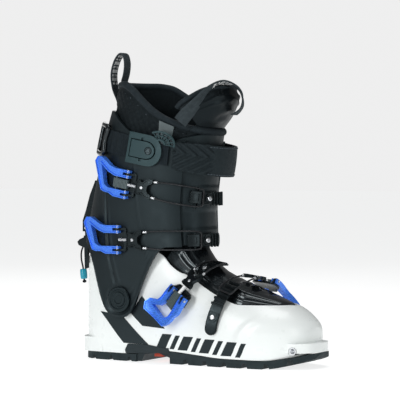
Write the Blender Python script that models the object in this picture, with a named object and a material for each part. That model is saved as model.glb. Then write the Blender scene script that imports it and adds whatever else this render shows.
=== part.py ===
"""Alpine touring boot, right foot, built as an assembly of separate pieces.

Frame: +X is forward (toe), +Y is the inner (medial) side, +Z is up. The origin is on the ground under the
cuff's ankle pivot, mid-way across the heel. Every length below is in millimetres and is scaled to metres when a
mesh is made.
"""

import math

import bmesh
import bpy
import numpy as np
from mathutils import Matrix, Vector

MM = 0.001

# Driving dimensions of the boot.
PIVOT_Z = 71.5  # height of the cuff's pivot axis, which runs along Y through X = 0
HEEL_WALL_X = -64.0  # rear of the white shell
HEEL_RADIUS = 36.0
TOE_WALL_X = 226.5
TOE_ROUND = 58.0  # length of the rounded toe end
SHELL_WALL = 4.0
SOLE_HEEL_X = -66.5
SOLE_TOE_X = 235.5  # the sole is 302 mm long
CUFF_WALL = 3.5
FLAP_INSET = 4.2  # the front flap's outer face under the cuff's outer face
FLAP_WALL = 3.0
TONGUE_INSET = 9.1
SHAFT_INSET = 6.2
LINER_WALL = 7.0
GAP = 0.4

# Height of the shell's floor, of its widest line, of its crest and of the edge of its opening, by X.
FLOOR = [(-70, 9), (0, 9), (20, 13), (58, 14.5), (100, 12), (130, 10), (181, 9.5), (213, 14), (236, 19.4)]
WIDEST_Z = 38.0
CREST = [
    (-70, 215), (25, 215), (50, 172), (68, 142), (84, 125), (104, 109), (130, 94),
    (153, 84.5), (181, 76), (201, 68.5), (211, 62), (219, 55), (224, 50), (226.5, 46),
]
THROAT = [
    (-64, 110), (-50, 112), (-30, 120), (0, 128), (30, 130), (49, 123), (60, 112), (72, 104), (84, 100),
    (104, 88), (125, 78), (153, 69.5), (181, 69.5), (201, 69.2), (203, 100),
]
PLAN = [(-28, 36), (0, 38.5), (40, 40.5), (90, 45), (140, 50), (165, 50.5), (190, 48), (230, 45)]
CENTRE = [(-64, 0), (0, 0), (60, -1), (120, -1), (180, 2), (230, 5)]

# The cuff: rear, front and half-width of its outer face, by height.
CUFF_REAR = [(40, -68), (110, -66), (135, -63), (168, -58), (206, -50), (236, -42), (272, -33), (295, -26), (320, -22)]
CUFF_FRONT = [(40, 92), (110, 94), (138, 99), (170, 99), (207, 102), (240, 106), (270, 111), (295, 116)]
CUFF_HALF = [(40, 46.5), (140, 46.5), (170, 48), (207, 50), (240, 52), (295, 53)]
CUFF_POWER = [(40, 3.4), (120, 3.2), (150, 2.7), (190, 2.4), (295, 2.3)]
# The lower edge of the cuff, by X: the wings reach down round the ankle pivots.
CUFF_LOW = [
    (-70, 137), (-56, 136), (-46, 128), (-38, 112), (-31, 90), (-25, 72), (-19, 60), (-11, 53), (0, 50.5),
    (11, 53), (18, 62), (31, 92), (43, 116), (51, 127), (60, 132), (80, 132.5), (110, 133),
]
CUFF_HIGH = [(-40, 289), (-15, 287), (0, 276), (20, 262), (45, 254), (70, 252), (110, 252)]
FLAP_HIGH = [(20, 238), (45, 242), (66, 249), (86, 256), (104, 258.5), (125, 258.5)]
FLAP_LOW = 134.5
CUFF_EDGE_LATERAL = 50.0  # degrees round the section from the front, towards the outer side
CUFF_EDGE_MEDIAL = -38.0
FLAP_REACH = 76.0


def hermite(table, x):
    """Smooth value at x through the table's points, level at a peak and flat outside the ends."""
    xs = [p[0] for p in table]
    ys = [p[1] for p in table]
    if x <= xs[0]:
        return ys[0]
    if x >= xs[-1]:
        return ys[-1]
    i = max(k for k in range(len(xs) - 1) if xs[k] <= x)

    def slope(k):
        if k in (0, len(xs) - 1):
            return 0.0
        before = (ys[k] - ys[k - 1]) / (xs[k] - xs[k - 1])
        after = (ys[k + 1] - ys[k]) / (xs[k + 1] - xs[k])
        if before * after <= 0:
            return 0.0
        return 2 * before * after / (before + after)

    width = xs[i + 1] - xs[i]
    t = (x - xs[i]) / width
    return (
        (2 * t**3 - 3 * t**2 + 1) * ys[i]
        + (t**3 - 2 * t**2 + t) * width * slope(i)
        + (3 * t**2 - 2 * t**3) * ys[i + 1]
        + (t**3 - t**2) * width * slope(i + 1)
    )


# ---------------------------------------------------------------- meshes


def clear_scene():
    for obj in list(bpy.data.objects):
        bpy.data.objects.remove(obj, do_unlink=True)


def material(name, colour, roughness, metallic=0.0):
    found = bpy.data.materials.get(name)
    if found:
        return found
    made = bpy.data.materials.new(name)
    made.use_nodes = True
    shader = made.node_tree.nodes["Principled BSDF"]
    shader.inputs["Base Color"].default_value = (*colour, 1.0)
    shader.inputs["Roughness"].default_value = roughness
    shader.inputs["Metallic"].default_value = metallic
    return made


def white_plastic():
    return material("shell_white", (0.85, 0.88, 0.87), 0.3)


def black_plastic():
    return material("cuff_black", (0.025, 0.032, 0.036), 0.42)


def blue_metal():
    return material("lever_blue", (0.06, 0.22, 0.85), 0.35, 0.4)


def steel():
    return material("steel", (0.62, 0.64, 0.66), 0.3, 1.0)


def rubber():
    return material("sole_rubber", (0.035, 0.042, 0.045), 0.8)


def foam():
    return material("liner_foam", (0.02, 0.023, 0.028), 0.85)


def webbing():
    return material("webbing_black", (0.02, 0.022, 0.026), 0.8)


def make_object(name, bm, look):
    """A named object from a bmesh in millimetres."""
    bmesh.ops.recalc_face_normals(bm, faces=bm.faces)
    if bm.calc_volume(signed=True) < 0:
        bmesh.ops.reverse_faces(bm, faces=bm.faces)
    bmesh.ops.scale(bm, vec=(MM, MM, MM), verts=bm.verts)
    mesh = bpy.data.meshes.new(name)
    bm.to_mesh(mesh)
    bm.free()
    mesh.shade_smooth()
    mesh.set_sharp_from_angle(angle=math.radians(35))
    obj = bpy.data.objects.new(name, mesh)
    obj.data.materials.append(look)
    bpy.context.scene.collection.objects.link(obj)
    return obj


def sheet_mesh(rows, weld=0.05):
    """An open sheet through rows of points, with points that coincide joined."""
    bm = bmesh.new()
    grid = [[bm.verts.new(p) for p in row] for row in rows]
    for a, b in zip(grid, grid[1:]):
        for k in range(len(a) - 1):
            bm.faces.new((a[k], a[k + 1], b[k + 1], b[k]))
    bmesh.ops.remove_doubles(bm, verts=bm.verts, dist=weld)
    bmesh.ops.dissolve_degenerate(bm, dist=0.02, edges=bm.edges)
    bmesh.ops.recalc_face_normals(bm, faces=bm.faces)
    return bm


def face_away(bm, centre):
    """Turns a sheet's faces so that most point away from a centre."""
    bm.normal_update()
    facing = sum(f.normal.dot(f.calc_center_median() - Vector(centre)) * f.calc_area() for f in bm.faces)
    if facing < 0:
        bmesh.ops.reverse_faces(bm, faces=bm.faces)
    bm.normal_update()


def thick_sheet(name, rows, look, centre, inset, wall):
    """A closed wall: the sheet moved in by inset is its outer face, and its inner face is wall further in."""
    bm = sheet_mesh(rows)
    face_away(bm, centre)
    normals = [(v, v.normal.copy(), v.calc_shell_factor()) for v in bm.verts]
    faces = bm.faces[:]
    rim = [e for e in bm.edges if e.is_boundary]
    inner = {}
    for v, normal, factor in normals:
        place = v.co.copy()
        depth = min(factor, 1.4)
        inner[v] = bm.verts.new(place - normal * (inset + wall) * depth)
        v.co = place - normal * inset * depth
    for f in faces:
        bm.faces.new([inner[v] for v in reversed(f.verts)])
    for e in rim:
        a, b = e.verts
        bm.faces.new((a, b, inner[b], inner[a]))
    return make_object(name, bm, look)


def prism(points, axis, low, high):
    """A closed prism in a bmesh: the outline's two coordinates are the ones left when axis is taken out."""
    order = [k for k in range(3) if k != axis]
    bm = bmesh.new()

    def corner(p, level):
        place = [0.0, 0.0, 0.0]
        place[order[0]], place[order[1]] = p
        place[axis] = level
        return bm.verts.new(place)

    base = [corner(p, low) for p in points]
    top = [corner(p, high) for p in points]
    bm.faces.new(base)
    bm.faces.new(list(reversed(top)))
    for k in range(len(points)):
        n = (k + 1) % len(points)
        bm.faces.new((base[k], top[k], top[n], base[n]))
    bmesh.ops.recalc_face_normals(bm, faces=bm.faces)
    return bm


def split_along(bm, step):
    """Cuts every face at equal steps of the first coordinate, so that the mesh can bend."""
    low = min(v.co.x for v in bm.verts)
    high = max(v.co.x for v in bm.verts)
    count = max(1, math.ceil((high - low) / step))
    for k in range(1, count):
        at = low + (high - low) * k / count
        geometry = bm.verts[:] + bm.edges[:] + bm.faces[:]
        bmesh.ops.bisect_plane(bm, geom=geometry, dist=1e-4, plane_co=(at, 0, 0), plane_no=(1, 0, 0))
    bmesh.ops.triangulate(bm, faces=bm.faces)


def cylinder_mesh(start, end, radius, sides=12, end_radius=None):
    """A closed cylinder or cone between two points."""
    start, end = Vector(start), Vector(end)
    bm = bmesh.new()
    turn = (end - start).to_track_quat("Z", "Y").to_matrix().to_4x4()
    bmesh.ops.create_cone(
        bm, cap_ends=True, segments=sides, radius1=radius,
        radius2=radius if end_radius is None else end_radius,
        depth=(end - start).length, matrix=Matrix.Translation((start + end) / 2) @ turn,
    )
    return bm


def turned_mesh(profile, centre, axis, sides=24):
    """A closed solid of revolution: profile is (distance along axis, radius), from one end to the other."""
    axis = Vector(axis).normalized()
    turn = axis.to_track_quat("Z", "Y").to_matrix()
    bm = bmesh.new()
    rings = []
    for along, radius in profile:
        ring = []
        for k in range(sides):
            a = 2 * math.pi * k / sides
            local = Vector((radius * math.cos(a), radius * math.sin(a), along))
            ring.append(bm.verts.new(Vector(centre) + turn @ local))
        rings.append(ring)
    for a, b in zip(rings, rings[1:]):
        for k in range(sides):
            n = (k + 1) % sides
            bm.faces.new((a[k], a[n], b[n], b[k]))
    bm.faces.new(list(reversed(rings[0])))
    bm.faces.new(rings[-1])
    return bm


def boolean(obj, bm, operation):
    """Joins, cuts or intersects an object with a bmesh in millimetres, which becomes a hidden cutter."""
    cutter = make_object(obj.name + "_" + operation.lower(), bm, obj.data.materials[0])
    cutter.hide_render = True
    cutter.display_type = "WIRE"
    modifier = obj.modifiers.new(operation.title(), "BOOLEAN")
    modifier.operation = operation
    modifier.solver = "EXACT"
    modifier.object = cutter
    return obj


def tube(name, points, radius, look, resolution=1, cyclic=False):
    """A round tube through the points, with capped ends."""
    curve = bpy.data.curves.new(name, "CURVE")
    curve.dimensions = "3D"
    curve.bevel_depth = radius * MM
    curve.bevel_resolution = resolution
    curve.use_fill_caps = True
    spline = curve.splines.new("POLY")
    spline.points.add(len(points) - 1)
    for point, place in zip(spline.points, points):
        point.co = (place[0] * MM, place[1] * MM, place[2] * MM, 1)
    spline.use_cyclic_u = cyclic
    obj = bpy.data.objects.new(name, curve)
    obj.data.materials.append(look)
    bpy.context.scene.collection.objects.link(obj)
    return obj


def smooth_path(points, count):
    """Evenly spaced points on a Catmull-Rom curve through the given points."""
    p = np.array(points, float)
    p = np.vstack([2 * p[0] - p[1], p, 2 * p[-1] - p[-2]])
    dense = []
    for i in range(1, len(p) - 2):
        for t in np.linspace(0, 1, 24, endpoint=False):
            dense.append(
                0.5 * (
                    2 * p[i]
                    + (p[i + 1] - p[i - 1]) * t
                    + (2 * p[i - 1] - 5 * p[i] + 4 * p[i + 1] - p[i + 2]) * t**2
                    + (3 * p[i] - p[i - 1] - 3 * p[i + 1] + p[i + 2]) * t**3
                )
            )
    dense.append(p[-2])
    dense = np.array(dense)
    length = np.concatenate([[0], np.cumsum(np.linalg.norm(np.diff(dense, axis=0), axis=1))])
    wanted = np.linspace(0, length[-1], count)
    return np.stack([np.interp(wanted, length, dense[:, k]) for k in range(3)], axis=1)


class Ribbon:
    """A path over a surface. along() runs with the path, across() beside it, and out() away from the surface."""

    def __init__(self, base, inner, zero_at):
        self.points = smooth_path(base, 240)
        steps = np.linalg.norm(np.diff(self.points, axis=0), axis=1)
        self.lengths = np.concatenate([[0], np.cumsum(steps)])
        nearest = np.argmin(np.linalg.norm(self.points - np.array(zero_at), axis=1))
        self.lengths -= self.lengths[nearest]
        tangent = np.gradient(self.points, axis=0)
        tangent /= np.linalg.norm(tangent, axis=1)[:, None]
        outward = self.points - np.array([inner(p) for p in self.points])
        outward -= tangent * np.sum(outward * tangent, axis=1)[:, None]
        outward /= np.linalg.norm(outward, axis=1)[:, None]
        self.frames = (tangent, outward, np.cross(outward, tangent))

    def frame(self, s):
        """Position, tangent, outward and sideways directions at the distance s."""
        inside = min(max(s, self.lengths[0]), self.lengths[-1])
        place = np.array([np.interp(inside, self.lengths, self.points[:, k]) for k in range(3)])
        axes = []
        for values in self.frames:
            axis = np.array([np.interp(inside, self.lengths, values[:, k]) for k in range(3)])
            axes.append(axis / np.linalg.norm(axis))
        return place + axes[0] * (s - inside), *axes

    def at(self, s, across, out):
        place, _, outward, sideways = self.frame(s)
        return Vector(place + sideways * across + outward * out)

    def bend(self, bm, step=7.0):
        """Bends a flat mesh, whose coordinates are along, across and out, onto the path."""
        split_along(bm, step)
        for v in bm.verts:
            v.co = self.at(*v.co)
        return bm


# ---------------------------------------------------------------- lower shell, soles and liner foot


def plan_half(x):
    """Half-width of the shell at its widest height."""
    if x < HEEL_WALL_X + HEEL_RADIUS:
        share = min(1.0, (HEEL_WALL_X + HEEL_RADIUS - x) / HEEL_RADIUS)
        return HEEL_RADIUS * math.sqrt(max(0.0, 1 - share**2))
    half = hermite(PLAN, x)
    toe_start = TOE_WALL_X - TOE_ROUND
    if x > toe_start:
        share = min(1.0, (x - toe_start) / TOE_ROUND)
        half *= max(0.0, 1 - share**2.5) ** (1 / 2.5)
    return half


def shell_section(x, top_z, wall_points, floor_points=2):
    """Points round the shell at x, from the outer side's edge, under the floor, to the inner side's edge."""
    floor_z = hermite(FLOOR, x)
    crest = hermite(CREST, x)
    half = plan_half(x)
    top = min(max(0.0, (top_z - WIDEST_Z) / (crest - WIDEST_Z)), 1.0)
    last_angle = math.asin(top)
    side = []
    for k in range(wall_points):
        angle = last_angle * (1 - k / (wall_points - 1))
        side.append((half * math.cos(angle), WIDEST_Z + (crest - WIDEST_Z) * math.sin(angle)))
    for drop in (0.5, 1.0):
        side.append((half * (1 - 0.1 * drop**2), WIDEST_Z + (floor_z - WIDEST_Z) * drop))
    corner = side[-1][0]
    for k in range(1, floor_points + 1):
        side.append((corner * (1 - k / floor_points), floor_z))
    centre = hermite(CENTRE, x)
    outer = [(x, centre - y, z) for y, z in side]
    inner = [(x, centre + y, z) for y, z in reversed(side[:-1])]
    return outer + inner


def foot_stations(count):
    """X values along the foot, closer together where the heel and the toe are round."""
    body = list(np.linspace(HEEL_WALL_X + HEEL_RADIUS, TOE_WALL_X - TOE_ROUND * 0.55, count))
    heel = [HEEL_WALL_X + HEEL_RADIUS * (1 - math.cos(math.radians(a))) for a in (0, 18, 36, 54, 72)]
    toe_length = TOE_ROUND * 0.55
    toe = [TOE_WALL_X - toe_length * (1 - math.sin(math.radians(a))) for a in (20, 40, 57, 72, 90)]
    return heel + body + toe


def build_lower_shell():
    rows = []
    for x in foot_stations(16):
        top = min(hermite(THROAT, x), hermite(CREST, x)) if x < 203 else hermite(CREST, x)
        rows.append(shell_section(x, top, 7))
    shell = thick_sheet("lower_shell", rows, white_plastic(), (60, 0, 60), 0.0, SHELL_WALL)
    boolean(shell, lug_mesh(TOE_LUG, 18.5, 28.7), "UNION")
    boolean(shell, lug_mesh(HEEL_LUG, 9.3, 26.0), "UNION")
    boss = prism([(-69, 107), (-58, 107), (-58, 118), (-69, 118)], 1, -4.0, 4.0)
    boolean(shell, boss, "UNION")
    boolean(shell, cylinder_mesh((0, -60, PIVOT_Z), (0, 60, PIVOT_Z), 5.0, 20), "DIFFERENCE")
    x, z = TOE_PIN
    boolean(shell, cylinder_mesh((x, -60, z), (x, 60, z), 4.6, 20), "DIFFERENCE")
    front, low, high, half = HEEL_SOCKET
    socket = [(front + 0.3, low - 0.3), (-80, low - 0.3), (-80, high + 0.3), (front + 0.3, high + 0.3)]
    boolean(shell, prism(socket, 1, -half - 0.3, half + 0.3), "DIFFERENCE")
    return shell


TOE_LUG = (200.0, SOLE_TOE_X, 34.0)
HEEL_LUG = (-30.0, SOLE_HEEL_X, 34.0)


def lug_outline(lug, points=9):
    """Plan outline of a sole lug: a straight inner end and a rounded outer end."""
    inner, outer, half = lug
    sign = 1 if outer > inner else -1
    length = abs(outer - inner)
    found = [(inner, -half)]
    for k in range(points):
        a = math.pi * (k / (points - 1) - 0.5)
        found.append((inner + sign * length * math.cos(a) ** 0.62, half * math.copysign(abs(math.sin(a)) ** 0.8, a)))
    found.append((inner, half))
    return [p for k, p in enumerate(found) if k == 0 or math.dist(p, found[k - 1]) > 0.5]


def lug_mesh(lug, low, high):
    return prism(lug_outline(lug), 2, low, high)


def foot_outline(grow, count=26):
    """Plan outline of the sole, grown or shrunk evenly."""
    side = []
    for k in range(count + 1):
        t = (1 - math.cos(math.pi * k / count)) / 2
        x = SOLE_HEEL_X + (SOLE_TOE_X - SOLE_HEEL_X) * t
        near = HEEL_WALL_X + (TOE_WALL_X - HEEL_WALL_X) * t
        half = plan_half(near) * (0.9 if 0 < t < 1 else 0) + grow
        side.append((x, max(0.0, half), hermite(CENTRE, near)))
    lateral = [(x, c - y) for x, y, c in side]
    medial = [(x, c + y) for x, y, c in reversed(side[1:-1])]
    return lateral + medial


LUG_SLANT = 2.4  # how far a lug's sloping end reaches into its groove


def tread_profile(start, end, top, lug_length, groove, depth, bottom):
    """Side profile of a sole: a top line and lugs below it with grooves between them."""
    points = [(x, top(x)) for x in np.linspace(end, start, 9)]
    x = start
    while x < end - 1:
        lug_end = min(x + lug_length, end)
        points.append((x, bottom(x)))
        if lug_end - x > 12:
            points.append(((x + lug_end) / 2, bottom((x + lug_end) / 2)))
        points.append((lug_end, bottom(lug_end)))
        if lug_end < end - 8:
            for x in (lug_end + LUG_SLANT, lug_end + groove - LUG_SLANT):
                points.append((x, bottom(x) + depth))
        x = lug_end + groove
    return points


def rocker(x):
    """Height of the tread's underside: flat under the ball, rising to the toe."""
    return 0.0 if x < 184 else 13.0 * ((x - 184) / 52) ** 1.5


def build_soles():
    def sole_top(x):
        return hermite(FLOOR, x) - 0.8

    front = prism(tread_profile(62, 236, sole_top, 17.0, 8.5, 5.5, rocker), 1, -60, 60)
    sole = make_object("outsole_front", front, rubber())
    boolean(sole, prism(foot_outline(-0.5), 2, -5, 40), "INTERSECT")
    heel = prism(tread_profile(-67, 16, lambda x: 9 - GAP, 18.5, 7.0, 5.0, lambda x: 0.0), 1, -60, 60)
    heel_sole = make_object("outsole_heel", heel, rubber())
    boolean(heel_sole, prism(foot_outline(-0.5), 2, -5, 40), "INTERSECT")
    profile = [(3, 9.2), (16.4, 9.2), (16.4, 0.6), (22, 0.6), (27, 9), (44, 11.5), (61.5, 6.5),
               (61.5, 14.1), (50, 13.8), (34, 13.2), (22, 12.4), (12, 10.6)]
    shank = make_object("arch_shank", prism(profile, 1, -60, 60), material("shank_grey", (0.06, 0.07, 0.075), 0.6))
    boolean(shank, prism(foot_outline(-2.0), 2, -5, 40), "INTERSECT")


def build_liner_foot():
    rows = []
    for x in foot_stations(13):
        crest = hermite(CREST, x)
        around = PIVOT_Z + math.sqrt(max(0.0, 71.0**2 - x**2))
        ahead = PIVOT_Z + x * math.tan(math.radians(27))
        top = around if x <= 0 else max(around * (x < 60), ahead)
        rows.append(shell_section(x, min(top, crest), 6))
    liner = thick_sheet("liner_foot", rows, foam(), (60, 0, 60), 9.5, 4.5)
    boolean(liner, prism([(-80, 0), (260, 0), (260, 31), (-80, 31)], 1, -80, 80), "DIFFERENCE")
    return liner


# ---------------------------------------------------------------- cuff, flap, liner shaft and tongue


def cuff_point(angle, z, inset=0.0):
    """Point on the cuff's outer face. The angle is in degrees from the front, positive to the outer side."""
    rear = hermite(CUFF_REAR, z) + inset
    front = hermite(CUFF_FRONT, z) - inset
    half = hermite(CUFF_HALF, z) - inset
    power = 2 / hermite(CUFF_POWER, z)
    c, s = math.cos(math.radians(angle)), math.sin(math.radians(angle))
    x = (front + rear) / 2 + (front - rear) / 2 * math.copysign(abs(c) ** power, c)
    return Vector((x, -half * math.copysign(abs(s) ** power, s), z))


def height_on(table, angle, inset=0.0):
    """Height on the cuff at this angle where an edge given by X lies."""
    z = hermite(table, 20.0)
    for _ in range(12):
        z = 0.5 * z + 0.5 * hermite(table, cuff_point(angle, z, inset).x)
    return z


def section_angles(start, end, count):
    """Angles round a section, spread so that the points are evenly spaced along it."""
    dense = np.linspace(start, end, 400)
    places = [cuff_point(a, 160.0) for a in dense]
    steps = [(b - a).length for a, b in zip(places, places[1:])]
    length = np.concatenate([[0], np.cumsum(steps)])
    return np.interp(np.linspace(0, length[-1], count), length, dense)


def build_cuff():
    rows = []
    for angle in section_angles(CUFF_EDGE_LATERAL, 360 + CUFF_EDGE_MEDIAL, 44):
        low, high = height_on(CUFF_LOW, angle), height_on(CUFF_HIGH, angle)
        levels = [low + (high - low) * t for t in (0, 0.1, 0.25, 0.45, 0.7, 1.0)]
        rows.append([cuff_point(angle, z) for z in levels])
    cuff = thick_sheet("cuff_shell", rows, black_plastic(), (25, 0, 170), 0.0, CUFF_WALL)
    boolean(cuff, cylinder_mesh((0, -60, PIVOT_Z), (0, 60, PIVOT_Z), 7.0, 24), "DIFFERENCE")
    rows = []
    for angle in section_angles(FLAP_REACH, -FLAP_REACH, 17):
        levels = np.linspace(FLAP_LOW, height_on(FLAP_HIGH, angle), 5)
        rows.append([cuff_point(angle, z) for z in levels])
    thick_sheet("cuff_flap", rows, black_plastic(), (25, 0, 170), FLAP_INSET, FLAP_WALL)


LINER_HIGH = [(-30, 319), (0, 319), (14, 313), (27, 302), (40, 291), (56, 281), (76, 272), (98, 265), (125, 263)]
LINER_HIGH_INNER = [(-30, 319), (0, 319), (15, 317), (35, 308), (56, 295), (76, 282), (98, 271), (125, 266)]
TONGUE_EDGE = 44.0  # degrees round the section where the tongue ends and the liner's shaft begins


def liner_inset(angle):
    """The liner fills the cuff behind, and stays inside the flap in front."""
    away = abs((angle + 180) % 360 - 180)
    share = min(1.0, max(0.0, (away - 82) / 34))
    return TONGUE_INSET + (SHAFT_INSET - TONGUE_INSET) * share * share * (3 - 2 * share)


def liner_point(angle, z):
    flare = 3.0 * min(1.0, max(0.0, (z - 290) / 25))
    return cuff_point(angle, z, liner_inset(angle) - flare)


def liner_low(x):
    """Lower edge of the liner's shaft, outside the circle and the ray that the liner's foot keeps within."""
    around = math.sqrt(max(0.0, (88.5 if x < 0 else 79.0) ** 2 - x**2))
    return PIVOT_Z + max(around, x * math.tan(math.radians(43)), 62.0)


def build_liner_shaft():
    rows = []
    for angle in section_angles(TONGUE_EDGE, 360 - TONGUE_EDGE, 25):
        high, low = 290.0, 140.0
        edge = LINER_HIGH if angle < 180 else LINER_HIGH_INNER
        for _ in range(12):
            high = 0.5 * high + 0.5 * hermite(edge, liner_point(angle, high).x)
            low = 0.5 * low + 0.5 * liner_low(liner_point(angle, low).x)
        rows.append([liner_point(angle, low + (high - low) * t) for t in (0, 0.25, 0.5, 0.75, 1.0)])
    thick_sheet("liner_shaft", rows, foam(), (25, 0, 200), 0.0, LINER_WALL)


TONGUE_LEAN = [(165, 0), (258, 0), (270, 6), (285, 13), (300, 16), (314, 10)]
TONGUE_TOP = 314.0
WING_OUTER = [(166, 42), (268, 42), (276, 52), (283, 65), (289, 76), (296, 80), (314, 80)]  # degrees at each height
WING_INNER = [(166, 42), (277, 42), (285, 51), (293, 59), (314, 59)]


def tongue_point(side, t):
    """Point of the tongue: side runs from -1 to 1 across it, and t from its lower to its upper edge."""
    z = 166 + (TONGUE_TOP - 24 * abs(side) ** 3 - 166) * t
    angle = side * hermite(WING_OUTER if side > 0 else WING_INNER, z)
    return liner_point(angle, z) + Vector((hermite(TONGUE_LEAN, z), 0, 0))


def build_liner_tongue():
    steps = (0, 0.25, 0.5, 0.63, 0.7, 0.78, 0.86, 0.93, 1.0)
    rows = [[tongue_point(1 - k / 8, t) for t in steps] for k in range(17)]
    thick_sheet("liner_tongue", rows, foam(), (25, 0, 240), 0.0, 5.0)


# The gasket's ridge line, and the X on the shell's opening where each of its sections starts.
GASKET_CREST = [(74.5, 150.4), (83.2, 145), (86, 139), (90, 130), (96, 121), (103, 113), (113, 105.5), (127, 98.5),
                (150, 89.5), (175, 79.5), (197, 70.8)]
GASKET_FOOT = [51, 58, 63, 70, 78, 88, 100, 118, 145, 172, 196]


def gasket_point(x_foot, crest_x, crest_z, angle):
    """Point of the gasket's section at an angle from its outer edge, over the ridge, to its inner edge."""
    edge = min(hermite(THROAT, x_foot), hermite(CREST, x_foot) - 0.8)
    rise = (edge - WIDEST_Z) / (hermite(CREST, x_foot) - WIDEST_Z)
    half = plan_half(x_foot) * math.sqrt(1 - rise**2) - SHELL_WALL - 1.6
    low = edge - 4.0
    lift = math.sin(math.radians(angle)) ** 0.8
    y = -half * math.cos(math.radians(angle))
    return (x_foot + (crest_x - x_foot) * lift, hermite(CENTRE, x_foot) + y, low + (crest_z - low) * lift)


def build_gasket():
    """The black tongue that closes the shell's throat, tucked under the shell's edge."""
    rows = []
    for x_foot, (x, z) in zip(GASKET_FOOT, GASKET_CREST):
        rows.append([gasket_point(x_foot, x, z, 180 * k / 10) for k in range(11)])
    look = material("gasket_black", (0.012, 0.013, 0.015), 0.2)
    return thick_sheet("instep_gasket", rows, look, (120, 0, 40), 0.0, 2.2)


# ---------------------------------------------------------------- buckles


def ring_outline(centre, radius, start, end, count):
    """Points of an arc about a centre, in degrees."""
    angles = np.radians(np.linspace(start, end, count))
    return [(centre[0] + radius * math.cos(a), centre[1] + radius * math.sin(a)) for a in angles]


PIN_OUT = 7.0  # height of the lever's hinge above the surface
PIN_RADIUS = 1.5
TRUNNION_S = -14.0
TRUNNION_OUT = 5.8
CABLE_RADIUS = 1.1
RACK_BASE = 1.8
TOOTH = 3.7
TOOTH_PITCH = 6.4
GROOVE = 3.1


def lever_outline():
    """The lever seen from outside: two arms joined by a slanted bar, each arm forked at the hinge."""
    upper = [
        (2.8, 16.2), (2.8, 13.4), (-5.4, 13.4), (-5.4, 10.3), (2.8, 10.3), (2.8, 7.5), (-16, 7.5), (-25, 10.5),
        (-36, 17.5),
    ]
    lower = [
        (-29.5, -4.5), (-24, -7.5), (2.8, -7.5), (2.8, -10.3), (-5.4, -10.3), (-5.4, -13.4), (2.8, -13.4),
        (2.8, -16.2),
    ]
    back = [(-15, -16.2), (-21, -13.5), (-29, -13.5), (-34, -12), (-48, 19), (-43, 25.5), (-36, 25.5), (-22, 17.5)]
    return upper + lower + back + [(-15, 16.2)]


def build_bracket(name, ribbon):
    """A plate with two ears, and a pin through each ear on which the lever's forks turn."""
    plate = ribbon.bend(prism([(-8, -15), (9, -15), (9, 15), (-8, 15)], 2, 0.8, 2.2))
    bracket = make_object(name + "_bracket", plate, black_plastic())
    profile = [(-3.6, 1.0), (8, 1.0), *ring_outline((0, PIN_OUT), 3.3, 10, 190, 7)]
    for side in (1, -1):
        low, high = sorted((side * 10.7, side * 13.0))
        boolean(bracket, ribbon.bend(prism(profile, 1, low, high), 30), "UNION")
        ends = (ribbon.at(0, side * 6.8, PIN_OUT), ribbon.at(0, side * 16.8, PIN_OUT))
        boolean(bracket, cylinder_mesh(*ends, PIN_RADIUS), "UNION")


def build_lever(name, ribbon):
    lever = make_object(name + "_lever", ribbon.bend(prism(lever_outline(), 2, 3.3, 9.0), 8), blue_metal())
    hole = cylinder_mesh(ribbon.at(0, -20, PIN_OUT), ribbon.at(0, 20, PIN_OUT), PIN_RADIUS + 0.2)
    boolean(lever, hole, "DIFFERENCE")
    ends = (ribbon.at(TRUNNION_S, -12.3, TRUNNION_OUT), ribbon.at(TRUNNION_S, 12.3, TRUNNION_OUT))
    boolean(lever, cylinder_mesh(*ends, 1.6), "DIFFERENCE")


def build_adjuster(name, ribbon):
    """The ribbed block between the lever's arms, its trunnion pins and the threaded barrel in front."""
    block = ribbon.bend(prism([(-17, -5.2), (1, -5.2), (1, 5.2), (-17, 5.2)], 2, 3.2, 8.2), 6)
    adjuster = make_object(name + "_adjuster", block, material("adjuster_grey", (0.12, 0.13, 0.12), 0.5))
    reach = (ribbon.at(TRUNNION_S, -11.9, TRUNNION_OUT), ribbon.at(TRUNNION_S, 11.9, TRUNNION_OUT))
    boolean(adjuster, cylinder_mesh(*reach, 1.3), "UNION")
    boolean(adjuster, cylinder_mesh(ribbon.at(-2, 0, 5.6), ribbon.at(11.2, 0, 4.8), 2.1), "UNION")
    yoke = [
        (11.6, -4), (16, -4.6), (20, -8.5), (30, -11), (30.5, -6.5), (24.5, -3.6), (24.5, 3.6), (30.5, 6.5), (30, 11),
        (20, 8.5), (16, 4.6), (11.6, 4),
    ]
    make_object(name + "_yoke", ribbon.bend(prism(yoke, 2, 2.6, 6.4), 8), black_plastic())


def build_cable(name, ribbon, hook, out):
    """A steel loop from one arm of the yoke, round behind a tooth of the rack, to the other arm."""
    reach = hook - 31
    side = [
        (31.0, 8.8, 4.5), (31 + 0.35 * reach, 10.4, 0.6 * 4.5 + 0.4 * out), (hook - 18, 10.6, out),
        (hook - 8, 10.4, out), (hook - 1.6, 9.4, out), (hook, 7.4, out), (hook, 3.5, out),
    ]
    path = side + [(hook, 0.0, out)] + [(s, -h, o) for s, h, o in reversed(side)]
    route = smooth_path(path, 44)
    tube(name + "_cable", [ribbon.at(*p) for p in route], CABLE_RADIUS, steel(), resolution=1)


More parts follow.
